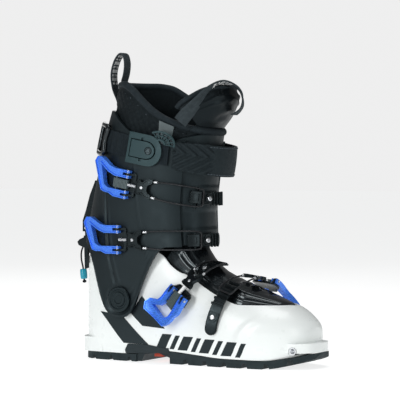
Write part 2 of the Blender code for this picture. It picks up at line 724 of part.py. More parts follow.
def build_rack(name, ribbon, start, end, plates, hook, seat, out, look):
    """A rack on a base strap: plates, the second or only one with a screw, and cross teeth in the rest of it."""
    floor, tip = out + RACK_BASE, out + TOOTH
    pad = tip - 0.8
    blocks = []
    for low, high in plates:
        blocks.append([(low, floor), (low + 0.3, pad), (high - 0.3, pad), (high, floor)])
    tooth_length = TOOTH_PITCH - GROOVE
    for k in range(-12, 12):
        back = hook + GROOVE / 2 + k * TOOTH_PITCH
        front = back + tooth_length
        clear = all(front < low - 1 or back > high + 1 for low, high in plates)
        if start < back and front < end and clear:
            blocks.append([(back, floor), (back + 0.4, tip), (back + 1.1, tip), (front, floor + 0.6),
                           (front + 0.05, floor)])
    blocks.sort()
    top = [(start - 0.5, floor)] + [p for block in blocks for p in block] + [(end + 0.5, floor)]
    profile = [(start - 0.5, seat), (end + 0.5, seat)] + list(reversed(top))
    make_object(name + "_rack", ribbon.bend(prism(profile, 1, -7.0, 7.0), 12), look)
    middle = plates[-1][0] + 6.5
    screw = cylinder_mesh(ribbon.at(middle, 0, pad + 0.5), ribbon.at(middle, 0, pad + 1.9), 3.4, 12)
    make_object(name + "_screw", screw, steel())


def build_buckle(name, ribbon, rack_start, rack_end, plates, hook, seat, out):
    build_bracket(name, ribbon)
    build_lever(name, ribbon)
    build_adjuster(name, ribbon)
    build_cable(name, ribbon, hook, out + RACK_BASE + CABLE_RADIUS + 0.45)
    build_rack(name, ribbon, rack_start, rack_end, plates, hook, seat, out, black_plastic())


def cuff_ribbon(z_zero, tilt, zero_angle):
    """A ribbon round the cuff from the outer rear to the front, sloping down forwards by the tilt."""
    slope = math.tan(math.radians(tilt))
    zero = cuff_point(zero_angle, z_zero)
    base = []
    for angle in np.linspace(172, -42, 34):
        z = z_zero
        for _ in range(8):
            z = z_zero - slope * (cuff_point(angle, z).x - zero.x)
        base.append(cuff_point(angle, z))

    def inner(p):
        middle = (hermite(CUFF_REAR, p[2]) + hermite(CUFF_FRONT, p[2])) / 2
        return (middle + 0.45 * (p[0] - middle), 0.0, p[2])

    return Ribbon(base, inner, zero)


def foot_point(x, angle, lift=0.0):
    """Point over the lower shell. The angle is in degrees up from the outer side's widest line, over the top."""
    rise = math.sin(math.radians(angle))
    y = hermite(CENTRE, x) - (plan_half(x) + lift) * math.cos(math.radians(angle))
    return (x, y, WIDEST_Z + (hermite(CREST, x) + lift - WIDEST_Z) * rise)


def foot_ribbon(stops, zero):
    def inner(p):
        return (p[0] - 6, 0.25 * p[1], 42.0)

    return Ribbon([foot_point(*stop) for stop in stops], inner, foot_point(*zero))


UPPER_BUCKLE = (203, 11.0, 95)  # height at the hinge, slope and angle round the cuff
LOWER_BUCKLE = (140, 0.0, 96)
# The foot buckles' lines over the shell: X, degrees over the top and height off the shell's surface.
INSTEP_PATH = [(36, 1, 3), (52, 5, 3), (66, 11, 4), (81, 25, 4.5), (95, 45, 5), (105, 67, 7.4), (113, 90, 8.0),
               (117, 112, 7.6), (120, 135, 7)]
TOE_PATH = [(155, 178, 6), (154, 160, 6), (153, 140, 7), (151, 116, 8), (147, 90, 8), (139, 62, 7), (131, 38, 5),
            (125, 16, 3), (122, 0, 2), (120, -20, 2)]


def build_buckles():
    flap_out = -FLAP_INSET + 1.3
    upper = cuff_ribbon(*UPPER_BUCKLE)
    build_buckle("upper_buckle", upper, 74.5, 128, [(74.5, 86.5), (89.8, 101.5)], 88.2, flap_out, 0.6)
    lower = cuff_ribbon(*LOWER_BUCKLE)
    build_buckle("lower_buckle", lower, 84, 132, [(84, 96), (99.3, 111)], 97.7, flap_out, 0.6)
    instep = foot_ribbon(INSTEP_PATH, INSTEP_PATH[3])
    build_buckle("instep_buckle", instep, 34, 72, [(34, 46)], 62, 0.0, 0.0)
    toe = foot_ribbon(TOE_PATH, TOE_PATH[3])
    build_buckle("toe_buckle", toe, 52, 121, [(95, 121)], 71, 0.0, 0.0)


# ---------------------------------------------------------------- power strap and pull loops

STRAP_SLOPE = 0.21
STRAP_Z = 250.0  # height of the strap's middle over the pivot
STRAP_BULGE = 11.0


def strap_point(angle, across, out):
    """Point beside the cuff on the strap's tilted plane. The strap stands off in front, over the tongue."""
    z = 245.0
    for _ in range(10):
        p = cuff_point(angle, z)
        z = 0.5 * z + 0.5 * (STRAP_Z - STRAP_SLOPE * p.x + across)
    front = max(0.0, math.cos(math.radians(angle))) ** 1.5
    place = cuff_point(angle, z, -out)
    return place + Vector((STRAP_BULGE * front, 0, 0))


def band(name, angles, half, out, wall, look, taper=0.0):
    rows = []
    for angle in angles:
        rows.append([strap_point(angle, half * t, out) for t in (-1, -0.33, 0.33, 1)])
    return thick_sheet(name, rows, look, (30, 0, 240), 0.0, wall)


def build_strap():
    grey = material("strap_plate_grey", (0.055, 0.07, 0.076), 0.4)
    band("strap_webbing", section_angles(167, 68, 12), 13.0, 2.2, 1.8, webbing())
    band("power_strap", section_angles(64, -172, 26), 17.5, 4.0, 3.4, webbing())
    plate = band("strap_plate", section_angles(102, 74, 6), 18.5, 5.2, 2.6, grey)
    window = band("strap_window", section_angles(98, 81, 3), 9.0, 9.0, 14.0, grey)
    window.hide_render = True
    window.display_type = "WIRE"
    cut = plate.modifiers.new("Window", "BOOLEAN")
    cut.solver = "EXACT"
    cut.object = window
    band("strap_latch", section_angles(97.3, 81.7, 3), 8.3, 6.4, 3.2, grey)
    ring = [(167, -10), (169, -14), (158, -16), (147, -14), (149, 0), (147, 14), (158, 16), (169, 14), (167, 0)]
    loop = [strap_point(a, h, 4.6) for a, h in ring]
    loop.append(loop[0])
    route = smooth_path(loop, 29)[:-1]
    tube("strap_ring", route, 1.8, black_plastic(), resolution=1, cyclic=True)


def webbing_loop(name, path, half, wall, look, count=22, start_side=(0, 1, 0)):
    """A band of webbing along a path, with its wall on the path's left. Its width turns from start_side to +Y."""
    route = smooth_path(path, count)
    rows = []
    for k, place in enumerate(route):
        turned = min(1.0, k / (0.6 * count))
        across = np.array(start_side) * (1 - turned) + np.array((0.0, 1.0, 0.0)) * turned
        across *= half / np.linalg.norm(across)
        rows.append([place - across, place + across])
    bm = sheet_mesh(rows)
    bm.normal_update()
    verts = [(v, v.co - v.normal * wall) for v in bm.verts]
    faces = bm.faces[:]
    rim = [e for e in bm.edges if e.is_boundary]
    inner = {v: bm.verts.new(place) for v, place in verts}
    for f in faces:
        bm.faces.new([inner[v] for v in reversed(f.verts)])
    for e in rim:
        a, b = e.verts
        bm.faces.new((a, b, inner[b], inner[a]))
    return make_object(name, bm, look)


REAR_LOOP = [(-20, 0, 322), (-17, 0, 332), (-16, 0, 344), (-19, 0, 354), (-25, 0, 355), (-32, 0, 346),
             (-36, 0, 331), (-34, 0, 314), (-28, 0, 300), (-25.6, 0, 291)]
FRONT_LOOP = [(86.0, -44.2, 280.5), (93.6, -42.9, 288), (102, -41, 297), (110.5, -36.5, 308), (118.5, -23, 316.5), (126, -8, 314.5),
              (131, 0, 308), (132.5, 3, 299), (131, 4, 291), (126, 4, 285.5), (121.5, 4, 283)]
FRONT_LOOP_SIDE = (0.8, 0.35, -0.45)


def build_pull_loops():
    webbing_loop("rear_pull_loop", REAR_LOOP, 7.5, 1.8, webbing())
    webbing_loop("front_pull_loop", FRONT_LOOP, 8.0, 1.8, webbing(), 26, FRONT_LOOP_SIDE)


# ---------------------------------------------------------------- pivots, lock and fittings

PIVOT_PROFILE = [(0, 14.5), (1.4, 14.5), (2.0, 13.4), (2.0, 11.4), (1.2, 10.6), (1.2, 9.0), (2.4, 8.2), (2.4, 5.2),
                 (1.6, 4.4), (1.6, 0.6)]


def build_pivots():
    look = material("pivot_grey", (0.04, 0.05, 0.055), 0.4)
    for name, side in (("outer_pivot", -1), ("inner_pivot", 1)):
        centre = (0, side * (46.5 + GAP), PIVOT_Z)
        cap = make_object(name, turned_mesh(PIVOT_PROFILE, centre, (0, side, 0), 24), look)
        stem = cylinder_mesh((0, side * 32.0, PIVOT_Z), (0, side * 47.4, PIVOT_Z), 4.7, 16)
        boolean(cap, stem, "UNION")


LOCK_PIN = (-69.0, 151.0)  # X and Z of the lock lever's hinge


def build_lock():
    """The spine plate on the cuff and the lever under it, whose fork sits over the boss on the shell."""
    outer = [(-51.5, 207), (-55.5, 207), (-63, 190), (-68.5, 172), (-73, 160), (-73, 147), (-64.5, 146.5),
             (-63.8, 150), (-61.5, 160), (-57.5, 174), (-54.4, 190)]
    plate = make_object("spine_plate", prism(outer, 1, -9.0, 9.0), black_plastic())
    slot = prism([(-90, 130), (-40, 130), (-40, 158.5), (-90, 158.5)], 1, -5.6, 5.6)
    boolean(plate, slot, "DIFFERENCE")
    x, z = LOCK_PIN
    boolean(plate, cylinder_mesh((x, -12, z), (x, 12, z), 1.9, 12), "DIFFERENCE")
    make_object("lock_pin", cylinder_mesh((x, -9.4, z), (x, 9.4, z), 1.6, 12), steel())
    for name, height in (("spine_rivet_upper", 194.0), ("spine_rivet_lower", 176.0)):
        edge = np.interp(height, [172, 190, 207], [-68.5, -63, -55.5])
        rivet = turned_mesh([(0, 3.2), (1.0, 2.8), (1.5, 1.2)], (edge - 1.2, 0, height), (-1, 0, 0.35), 12)
        make_object(name, rivet, steel())
    profile = [(x + 3.4, z - 2), (-66.4, 144), (-66.4, 104), (-70.6, 102.5), (-71.5, 128), (-79, 130.5),
               (-81, 134.5), (-78, 137.5), (-72.0, 140), (-72.5, z)]
    profile += [(x + 3.6 * math.cos(a), z + 3.6 * math.sin(a)) for a in np.radians(np.linspace(150, 0, 6))]
    lever = make_object("lock_lever", prism(profile, 1, -8.2, 8.2), black_plastic())
    for side in (1, -1):
        low, high = sorted((side * 5.1, side * 12.0))
        boolean(lever, prism([(-90, 142), (-50, 142), (-50, 170), (-90, 170)], 1, low, high), "DIFFERENCE")
    boolean(lever, prism([(-90, 90), (-50, 90), (-50, 121.5), (-90, 121.5)], 1, -4.7, 4.7), "DIFFERENCE")
    boolean(lever, cylinder_mesh((x, -12, z), (x, 12, z), 1.9, 12), "DIFFERENCE")
    build_cord()


CORD_RADIUS = 1.0


def build_cord():
    """The thin pull cord that hangs from the lock lever's tip, with a bead on it."""
    black = material("cord_black", (0.02, 0.02, 0.022), 0.7)
    stops = [(-78, 0, 129.2), (-80.5, 0, 122), (-80.4, 0, 113), (-78.2, 0, 104), (-77.3, 0, 96), (-76.2, 0, 86)]
    tube("pull_cord", smooth_path(stops, 19), CORD_RADIUS, black, resolution=2)
    profile = [(0, 3.0), (1.0, 3.8), (6, 4.2), (11, 3.8), (12, 3.0)]
    axis = Vector((-0.1, 0, 1)).normalized()
    start = Vector((-76.7, 0, 90.4))
    bead = turned_mesh(profile, start, axis, 16)
    obj = make_object("cord_bead", bead, material("bead_teal", (0.02, 0.27, 0.5), 0.35))
    boolean(obj, cylinder_mesh(start - axis * 3, start + axis * 15, CORD_RADIUS + 0.75, 12), "DIFFERENCE")


TOE_PIN = (214.0, 20.5)  # X and Z of the steel binding sockets at the toe
HEEL_SOCKET = (-62.0, 12.5, 24.0, 10.0)  # front X, bottom, top and half-width of the steel plate in the heel


def build_fittings():
    x, z = TOE_PIN
    toe = make_object("toe_fitting", cylinder_mesh((x, -33.2, z), (x, 33.2, z), 4.3, 20), steel())
    for side in (1, -1):
        dimple = cylinder_mesh((x, side * 29.5, z), (x, side * 34, z), 0.6, 12, 3.4)
        boolean(toe, dimple, "DIFFERENCE")
    front, low, high, half = HEEL_SOCKET
    plate = [(front, low), (SOLE_HEEL_X - 0.6, low), (SOLE_HEEL_X - 0.6, high), (front, high)]
    heel = make_object("heel_fitting", prism(plate, 1, -half, half), steel())
    for side in (1, -1):
        slot = [(-75, -20), (-65.2, -20), (-65.2, 40), (-75, 40)]
        boolean(heel, prism(slot, 1, side * 5.5 - 1.3, side * 5.5 + 1.3), "DIFFERENCE")
    insert = prism([(35, 6.2), (46, 6.2), (46, 10.6), (35, 9.4)], 1, -26, 26)
    make_object("arch_insert", insert, material("insert_orange", (0.6, 0.05, 0.01), 0.5))


def main():
    clear_scene()
    build_lower_shell()
    build_soles()
    build_liner_foot()
    build_cuff()
    build_liner_shaft()
    build_liner_tongue()
    build_gasket()
    build_buckles()
    build_strap()
    build_pull_loops()
    build_pivots()
    build_lock()
    build_fittings()


main()
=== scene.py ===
import math

import bmesh
import bpy
import numpy as np
from mathutils import Matrix, Vector


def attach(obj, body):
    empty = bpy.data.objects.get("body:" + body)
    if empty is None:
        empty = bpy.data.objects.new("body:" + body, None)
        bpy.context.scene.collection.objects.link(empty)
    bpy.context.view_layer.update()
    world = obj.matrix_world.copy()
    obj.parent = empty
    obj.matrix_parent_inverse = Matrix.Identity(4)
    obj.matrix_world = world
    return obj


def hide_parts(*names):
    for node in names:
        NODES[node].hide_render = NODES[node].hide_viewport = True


# Lengths are in millimetres until a mesh is made. The frame is the part's own: +X to the toe, +Y to the inner
# side, +Z up, with the origin on the ground under the ankle pivot.
MM = 0.001

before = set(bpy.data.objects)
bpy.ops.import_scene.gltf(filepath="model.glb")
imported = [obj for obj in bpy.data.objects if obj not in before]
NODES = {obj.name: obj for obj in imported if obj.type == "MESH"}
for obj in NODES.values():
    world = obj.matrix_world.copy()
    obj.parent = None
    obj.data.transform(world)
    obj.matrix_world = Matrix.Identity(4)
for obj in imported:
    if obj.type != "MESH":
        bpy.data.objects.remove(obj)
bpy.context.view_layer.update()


# ---------------------------------------------------------------- driving shapes, the same as the CAD part's

PIVOT_Z = 71.5
HEEL_WALL_X = -64.0
HEEL_RADIUS = 36.0
TOE_WALL_X = 226.5
TOE_ROUND = 58.0
SHELL_WALL = 4.0
SOLE_HEEL_X = -66.5
SOLE_TOE_X = 235.5
CUFF_WALL = 3.5
FLAP_INSET = 4.2
FLAP_WALL = 3.0
TONGUE_INSET = 9.1
SHAFT_INSET = 6.2
LINER_WALL = 7.0

FLOOR = [(-70, 9), (0, 9), (20, 13), (58, 14.5), (100, 12), (130, 10), (181, 9.5), (213, 14), (236, 19.4)]
WIDEST_Z = 38.0
CREST = [
    (-70, 215), (25, 215), (50, 172), (68, 142), (84, 125), (104, 109), (130, 94),
    (153, 84.5), (181, 76), (201, 68.5), (211, 62), (219, 55), (224, 50), (226.5, 46),
]
THROAT = [
    (-64, 110), (-50, 112), (-30, 120), (0, 128), (30, 130), (49, 123), (60, 112), (72, 104), (84, 100),
    (104, 88), (125, 78), (153, 69.5), (181, 69.5), (201, 69.2), (203, 100),
]
PLAN = [(-28, 36), (0, 38.5), (40, 40.5), (90, 45), (140, 50), (165, 50.5), (190, 48), (230, 45)]
CENTRE = [(-64, 0), (0, 0), (60, -1), (120, -1), (180, 2), (230, 5)]

CUFF_REAR = [
    (40, -68), (110, -66), (135, -63), (168, -58), (206, -50), (236, -42), (272, -33), (295, -26), (320, -22),
]
CUFF_FRONT = [(40, 92), (110, 94), (138, 99), (170, 99), (207, 102), (240, 106), (270, 111), (295, 116)]
CUFF_HALF = [(40, 46.5), (140, 46.5), (170, 48), (207, 50), (240, 52), (295, 53)]
CUFF_POWER = [(40, 3.4), (120, 3.2), (150, 2.7), (190, 2.4), (295, 2.3)]
CUFF_LOW = [
    (-70, 137), (-56, 136), (-46, 128), (-38, 112), (-31, 90), (-25, 72), (-19, 60), (-11, 53), (0, 50.5),
    (11, 53), (18, 62), (31, 92), (43, 116), (51, 127), (60, 132), (80, 132.5), (110, 133),
]
CUFF_HIGH = [(-40, 289), (-15, 287), (0, 276), (20, 262), (45, 254), (70, 252), (110, 252)]
FLAP_HIGH = [(20, 238), (45, 242), (66, 249), (86, 256), (104, 258.5), (125, 258.5)]
FLAP_LOW = 134.5
CUFF_EDGE_LATERAL = 50.0
CUFF_EDGE_MEDIAL = -38.0
FLAP_REACH = 76.0

LINER_HIGH = [
    (-30, 319), (0, 319), (14, 313), (27, 302), (40, 291), (56, 281), (76, 272), (98, 265), (125, 263),
]
LINER_HIGH_INNER = [(-30, 319), (0, 319), (15, 317), (35, 308), (56, 295), (76, 282), (98, 271), (125, 266)]
TONGUE_EDGE = 44.0
TONGUE_LEAN = [(165, 0), (258, 0), (270, 6), (285, 13), (300, 16), (314, 10)]
TONGUE_TOP = 314.0
WING_OUTER = [(166, 42), (268, 42), (276, 52), (283, 65), (289, 76), (296, 80), (314, 80)]
WING_INNER = [(166, 42), (277, 42), (285, 51), (293, 59), (314, 59)]

GASKET_CREST = [
    (74.5, 150.4), (83.2, 145), (86, 139), (90, 130), (96, 121), (103, 113), (113, 105.5), (127, 98.5),
    (150, 89.5), (175, 79.5), (197, 70.8),
]
GASKET_FOOT = [51, 58, 63, 70, 78, 88, 100, 118, 145, 172, 196]


def hermite(table, x):
    """Smooth value at x through the table's points, level at a peak and flat outside the ends."""
    xs = [p[0] for p in table]
    ys = [p[1] for p in table]
    if x <= xs[0]:
        return ys[0]
    if x >= xs[-1]:
        return ys[-1]
    i = max(k for k in range(len(xs) - 1) if xs[k] <= x)

    def slope(k):
        if k in (0, len(xs) - 1):
            return 0.0
        before = (ys[k] - ys[k - 1]) / (xs[k] - xs[k - 1])
        after = (ys[k + 1] - ys[k]) / (xs[k + 1] - xs[k])
        if before * after <= 0:
            return 0.0
        return 2 * before * after / (before + after)

    width = xs[i + 1] - xs[i]
    t = (x - xs[i]) / width
    return (
        (2 * t**3 - 3 * t**2 + 1) * ys[i]
        + (t**3 - 2 * t**2 + t) * width * slope(i)
        + (3 * t**2 - 2 * t**3) * ys[i + 1]
        + (t**3 - t**2) * width * slope(i + 1)
    )


def ease(t):
    """Smooth step from 0 to 1."""
    t = min(1.0, max(0.0, t))
    return t * t * (3 - 2 * t)


def settled_value(start, step, rounds=12):
    """The value that step gives back unchanged, found by going half of the way each time."""
    value = start
    for _ in range(rounds):
        value = 0.5 * value + 0.5 * step(value)
    return value


# ---------------------------------------------------------------- materials


class Look:
    """A node material built round one Principled shader. Patterns use the object's coordinates in metres."""

    def __init__(self, name, colour, roughness, metallic=0.0):
        self.material = bpy.data.materials.new(name)
        self.material.use_nodes = True
        self.tree = self.material.node_tree
        self.shader = self.tree.nodes["Principled BSDF"]
        self.colour = colour
        self.shader.inputs["Base Color"].default_value = (*colour, 1)
        self.shader.inputs["Roughness"].default_value = roughness
        self.shader.inputs["Metallic"].default_value = metallic
        self.place = self.add("ShaderNodeTexCoord").outputs["Object"]
        self.normal = None

    def add(self, kind, **values):
        made = self.tree.nodes.new(kind)
        for key, value in values.items():
            if hasattr(made, key):
                setattr(made, key, value)
            else:
                made.inputs[key.replace("_", " ")].default_value = value
        return made

    def join(self, source, target):
        self.tree.links.new(source, target)

    def set(self, **values):
        for key, value in values.items():
            self.shader.inputs[key.replace("_", " ")].default_value = value
        return self

    def pattern(self, kind, mapped_by, amounts, **values):
        """A texture whose coordinates are first scaled or turned by these amounts."""
        mapping = self.add("ShaderNodeMapping")
        mapping.inputs[mapped_by].default_value = amounts
        self.join(self.place, mapping.inputs["Vector"])
        made = self.add(kind, **values)
        self.join(mapping.outputs["Vector"], made.inputs["Vector"])
        return made.outputs["Fac"]

    def noise(self, scale, detail, stretch=(1, 1, 1)):
        return self.pattern("ShaderNodeTexNoise", "Scale", stretch, Scale=scale, Detail=detail)

    def wave(self, scale, turn=(0, 0, 0)):
        return self.pattern("ShaderNodeTexWave", "Rotation", turn, bands_direction="DIAGONAL", Scale=scale)

    def spread(self, value, low, high):
        made = self.add("ShaderNodeMapRange")
        made.inputs["From Min"].default_value = 0.3
        made.inputs["From Max"].default_value = 0.7
        made.inputs["To Min"].default_value = low
        made.inputs["To Max"].default_value = high
        self.join(value, made.inputs["Value"])
        return made.outputs["Result"]

    def tint(self, value, other):
        """Mixes the base colour towards another one where the value is high."""
        made = self.add("ShaderNodeMix", data_type="RGBA")
        sockets = [s for s in made.inputs if s.type == "RGBA"]
        sockets[0].default_value = (*self.colour, 1)
        sockets[1].default_value = (*other, 1)
        factor = [s for s in made.inputs if s.type == "VALUE"][0]
        self.join(self.spread(value, 0.0, 1.0), factor)
        self.join([s for s in made.outputs if s.type == "RGBA"][0], self.shader.inputs["Base Color"])
        return self

    def rough(self, value, low, high):
        self.join(self.spread(value, low, high), self.shader.inputs["Roughness"])
        return self

    def bump(self, value, depth, strength=0.6):
        """Adds a bump of this depth in millimetres over the ones added before."""
        made = self.add("ShaderNodeBump", Strength=strength, Distance=depth * MM)
        self.join(value, made.inputs["Height"])
        if self.normal is not None:
            self.join(self.normal, made.inputs["Normal"])
        self.normal = made.outputs["Normal"]
        self.join(self.normal, self.shader.inputs["Normal"])
        return self


COOL_TINT = (0.72, 0.93, 1.0, 1.0)  # of the highlights on dark plastic and cloth


def scaled(colour, factor):
    return tuple(c * factor for c in colour)


def plastic(name, colour, rough, grain, clouds):
    """Moulded plastic: slow drifts of colour and gloss, and a fine grain from the mould."""
    look = Look(name, colour, sum(rough) / 2)
    look.tint(look.noise(35, 2), scaled(colour, clouds))
    look.rough(look.noise(120, 4), *rough)
    look.bump(look.noise(900, 2), grain)
    if max(colour) < 0.05:
        look.set(Specular_IOR_Level=0.3, Specular_Tint=COOL_TINT)
    return look


def cloth(name, colour, thread, depth):
    """Woven textile: crossed threads, fuzz and sheen."""
    look = Look(name, colour, 0.85)
    look.tint(look.noise(250, 4), scaled(colour, 1.5))
    look.rough(look.noise(500, 3), 0.6, 0.8)
    look.bump(look.wave(thread), depth, 0.4)
    look.bump(look.wave(thread, turn=(0, 1.57, 0)), depth, 0.4)
    look.bump(look.noise(1400, 3), depth, 0.3)
    look.set(Sheen_Weight=0.008, Sheen_Roughness=0.4, Specular_IOR_Level=0.16, Specular_Tint=COOL_TINT)
    return look


def metal(name, colour, rough, metallic):
    """Alloy or steel, with drifts of gloss and a fine grain."""
    look = Look(name, colour, sum(rough) / 2, metallic)
    look.rough(look.noise(300, 4, (1, 1, 6)), *rough)
    look.tint(look.noise(90, 3), scaled(colour, 0.85))
    look.bump(look.noise(1200, 2, (1, 1, 5)), 0.02)
    return look


# look: (material, colour, range of roughness, depth of the grain in mm, brightness of the colour's drifts)
PLASTICS = {
    "shell_white": ("white_shell_plastic", (0.84, 0.88, 0.87), (0.26, 0.34), 0.03, 1.01),
    "cuff_black": ("charcoal_cuff_plastic", (0.0048, 0.0075, 0.0090), (0.38, 0.5), 0.05, 1.3),
    "trim_black": ("black_trim_plastic", (0.0030, 0.0038, 0.0044), (0.22, 0.36), 0.03, 1.4),
    "gasket_black": ("black_gasket_rubber", (0.004, 0.005, 0.006), (0.14, 0.28), 0.02, 1.5),
    "sole_rubber": ("sole_rubber_black", (0.014, 0.019, 0.021), (0.6, 0.82), 0.12, 1.6),
    "shank_grey": ("arch_plastic", (0.013, 0.017, 0.019), (0.4, 0.55), 0.05, 1.3),
    "insert_orange": ("orange_insert", (0.42, 0.035, 0.008), (0.4, 0.55), 0.04, 1.2),
    "liner_smooth": ("liner_facing", (0.0034, 0.0046, 0.0056), (0.3, 0.42), 0.10, 1.5),
    "strap_plate_grey": ("grey_strap_plate", (0.020, 0.040, 0.044), (0.34, 0.46), 0.05, 1.15),
    "adjuster_grey": ("grey_adjuster", (0.06, 0.085, 0.09), (0.4, 0.55), 0.04, 1.2),
    "pivot_grey": ("pivot_cap_grey", (0.0050, 0.0085, 0.0100), (0.2, 0.3), 0.02, 1.3),
    "bead_teal": ("teal_bead", (0.008, 0.27, 0.38), (0.25, 0.36), 0.02, 1.2),
    "mark_black": ("black_print", (0.010, 0.014, 0.016), (0.4, 0.5), 0.02, 1.2),
    "mark_light": ("light_print", (0.88, 0.90, 0.90), (0.5, 0.6), 0.05, 0.95),
}

# look: (material, colour, threads' frequency, depth of the weave in mm)
CLOTHS = {
    "liner_foam": ("liner_textile", (0.0022, 0.0031, 0.0040), 900, 0.07),
    "webbing_black": ("black_webbing", (0.0075, 0.0105, 0.0130), 700, 0.22),
    "loop_black": ("pull_loop_webbing", (0.026, 0.033, 0.037), 700, 0.22),
    "strap_black": ("power_strap_textile", (0.0055, 0.0080, 0.0096), 1200, 0.07),
    "cord_black": ("braided_cord", (0.010, 0.010, 0.012), 2200, 0.2),
    "thread": ("stitch_thread", (0.05, 0.06, 0.07), 3000, 0.1),
    "binding": ("liner_binding", (0.012, 0.016, 0.019), 1100, 0.10),
}

LOOKS = {}


def make_looks():
    """Every look by its name, with the coats, highlights and bumps that only one of them has."""
    for look, values in PLASTICS.items():
        LOOKS[look] = plastic(*values)
    for look, values in CLOTHS.items():
        LOOKS[look] = cloth(*values)
    LOOKS["lever_blue"] = metal("blue_anodised_lever", (0.075, 0.26, 1.0), (0.22, 0.34), 0.45)
    LOOKS["steel"] = metal("brushed_steel", (0.62, 0.64, 0.66), (0.2, 0.38), 1.0)
    cable = metal("black_coated_cable", (0.02, 0.022, 0.025), (0.25, 0.4), 0.4)
    cable.bump(cable.wave(900), 0.2)
    LOOKS["cable_black"] = cable
    white = LOOKS["shell_white"]
    white.set(Coat_Weight=0.15, Coat_Roughness=0.25, Subsurface_Weight=0.05)
    white.set(Subsurface_Radius=(0.004, 0.004, 0.004), Subsurface_Scale=0.5)
    LOOKS["gasket_black"].set(Coat_Weight=0.5, Coat_Roughness=0.08)
    rubber = LOOKS["sole_rubber"]
    rubber.bump(rubber.noise(420, 4), 0.25)
    LOOKS["liner_foam"].set(Specular_IOR_Level=0.24)
    LOOKS["liner_smooth"].set(Specular_IOR_Level=0.17)
    LOOKS["strap_black"].set(Specular_IOR_Level=0.34)


# ---------------------------------------------------------------- meshes


def smoothed(mesh, sharp):
    """Smooth shading, apart from edges sharper than this angle in degrees."""
    mesh.shade_smooth()
    mesh.set_sharp_from_angle(angle=math.radians(sharp))


def object_from(name, bm, material):
    """An object in the scene from a bmesh, which is freed."""
    mesh = bpy.data.meshes.new(name)
    bm.to_mesh(mesh)
    bm.free()
    mesh.materials.append(material)
    made = bpy.data.objects.new(name, mesh)
    bpy.context.scene.collection.objects.link(made)
    return made


def make_piece(name, bm, look, sharp=35):
    """An object from a bmesh in millimetres, with its faces turned outwards."""
    bmesh.ops.recalc_face_normals(bm, faces=bm.faces)
    if bm.calc_volume(signed=True) < 0:
        bmesh.ops.reverse_faces(bm, faces=bm.faces)
    bmesh.ops.scale(bm, vec=(MM, MM, MM), verts=bm.verts)
    piece = object_from(name, bm, LOOKS[look].material)
    smoothed(piece.data, sharp)
    return piece


def bevelled(piece, width, segments, angle=38):
    """Rounds a piece's hard edges."""
    made = piece.modifiers.new("Rounded", "BEVEL")
    made.width = width * MM
    made.segments = segments
    made.limit_method = "ANGLE"
    made.angle_limit = math.radians(angle)
    return piece


def settle(piece):
    """Applies a piece's modifiers."""
    graph = bpy.context.evaluated_depsgraph_get()
    mesh = bpy.data.meshes.new_from_object(piece.evaluated_get(graph))
    piece.modifiers.clear()
    piece.data = mesh
    return piece


def rounded_off(piece, width, angle):
    """Rounds a piece's hard edges for good."""
    return settle(bevelled(piece, width, 3, angle))


def boolean(piece, bm, operation):
    """Joins or cuts a piece with a bmesh in millimetres, and applies it."""
    cutter = make_piece("cutter", bm, "steel")
    cutter.data.materials.clear()
    cutter.data.materials.append(piece.data.materials[0])
    modifier = piece.modifiers.new("Cut", "BOOLEAN")
    modifier.operation = operation
    modifier.solver = "EXACT"
    modifier.object = cutter
    settle(piece)
    bpy.data.objects.remove(cutter)
    return piece


def placed(piece, body, nodes=()):
    """Rides a piece on its body and hides the CAD nodes that it stands for."""
    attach(piece, body)
    if nodes:
        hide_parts(*nodes)
    return piece


def band(bm, first, second, closed=False):
    """Faces between two rows with the same number of vertices."""
    for k in range(len(first) if closed else len(first) - 1):
        n = (k + 1) % len(first)
        bm.faces.new((first[k], first[n], second[n], second[k]))


def thick_sheet(name, rows, look, centre, inset, wall, relief=None, sharp=35):
    """A closed wall. The rows moved in by inset are its outer face, to which relief adds its own height."""
    bm = bmesh.new()
    grid = [[bm.verts.new(p) for p in row] for row in rows]
    for a, b in zip(grid, grid[1:]):
        band(bm, a, b)
    bmesh.ops.remove_doubles(bm, verts=bm.verts, dist=0.02)
    bmesh.ops.dissolve_degenerate(bm, dist=0.01, edges=bm.edges)
    bmesh.ops.recalc_face_normals(bm, faces=bm.faces)
    facing = sum(f.normal.dot(f.calc_center_median() - Vector(centre)) * f.calc_area() for f in bm.faces)
    if facing < 0:
        bmesh.ops.reverse_faces(bm, faces=bm.faces)
    bm.normal_update()
    normals = [(v, v.normal.copy()) for v in bm.verts]
    faces = bm.faces[:]
    rim = [e for e in bm.edges if e.is_boundary]
    inner = {}
    for v, normal in normals:
        place = v.co.copy()
        inner[v] = bm.verts.new(place - normal * (inset + wall))
        v.co = place - normal * (inset - (relief(place) if relief else 0.0))
    for f in faces:
        bm.faces.new([inner[v] for v in reversed(f.verts)])
    for e in rim:
        a, b = e.verts
        bm.faces.new((a, b, inner[b], inner[a]))
    return make_piece(name, bm, look, sharp)


def prism(points, axis, low, high):
    """A closed prism: the outline's two coordinates are the ones left when axis is taken out."""
    order = [k for k in range(3) if k != axis]
    bm = bmesh.new()

    def corner(p, level):
        place = [0.0, 0.0, 0.0]
        place[order[0]], place[order[1]] = p
        place[axis] = level
        return bm.verts.new(place)

    base = [corner(p, low) for p in points]
    top = [corner(p, high) for p in points]
    bm.faces.new(base)
    bm.faces.new(list(reversed(top)))
    for k in range(len(points)):
        n = (k + 1) % len(points)
        bm.faces.new((base[k], top[k], top[n], base[n]))
    bmesh.ops.recalc_face_normals(bm, faces=bm.faces)
    return bm


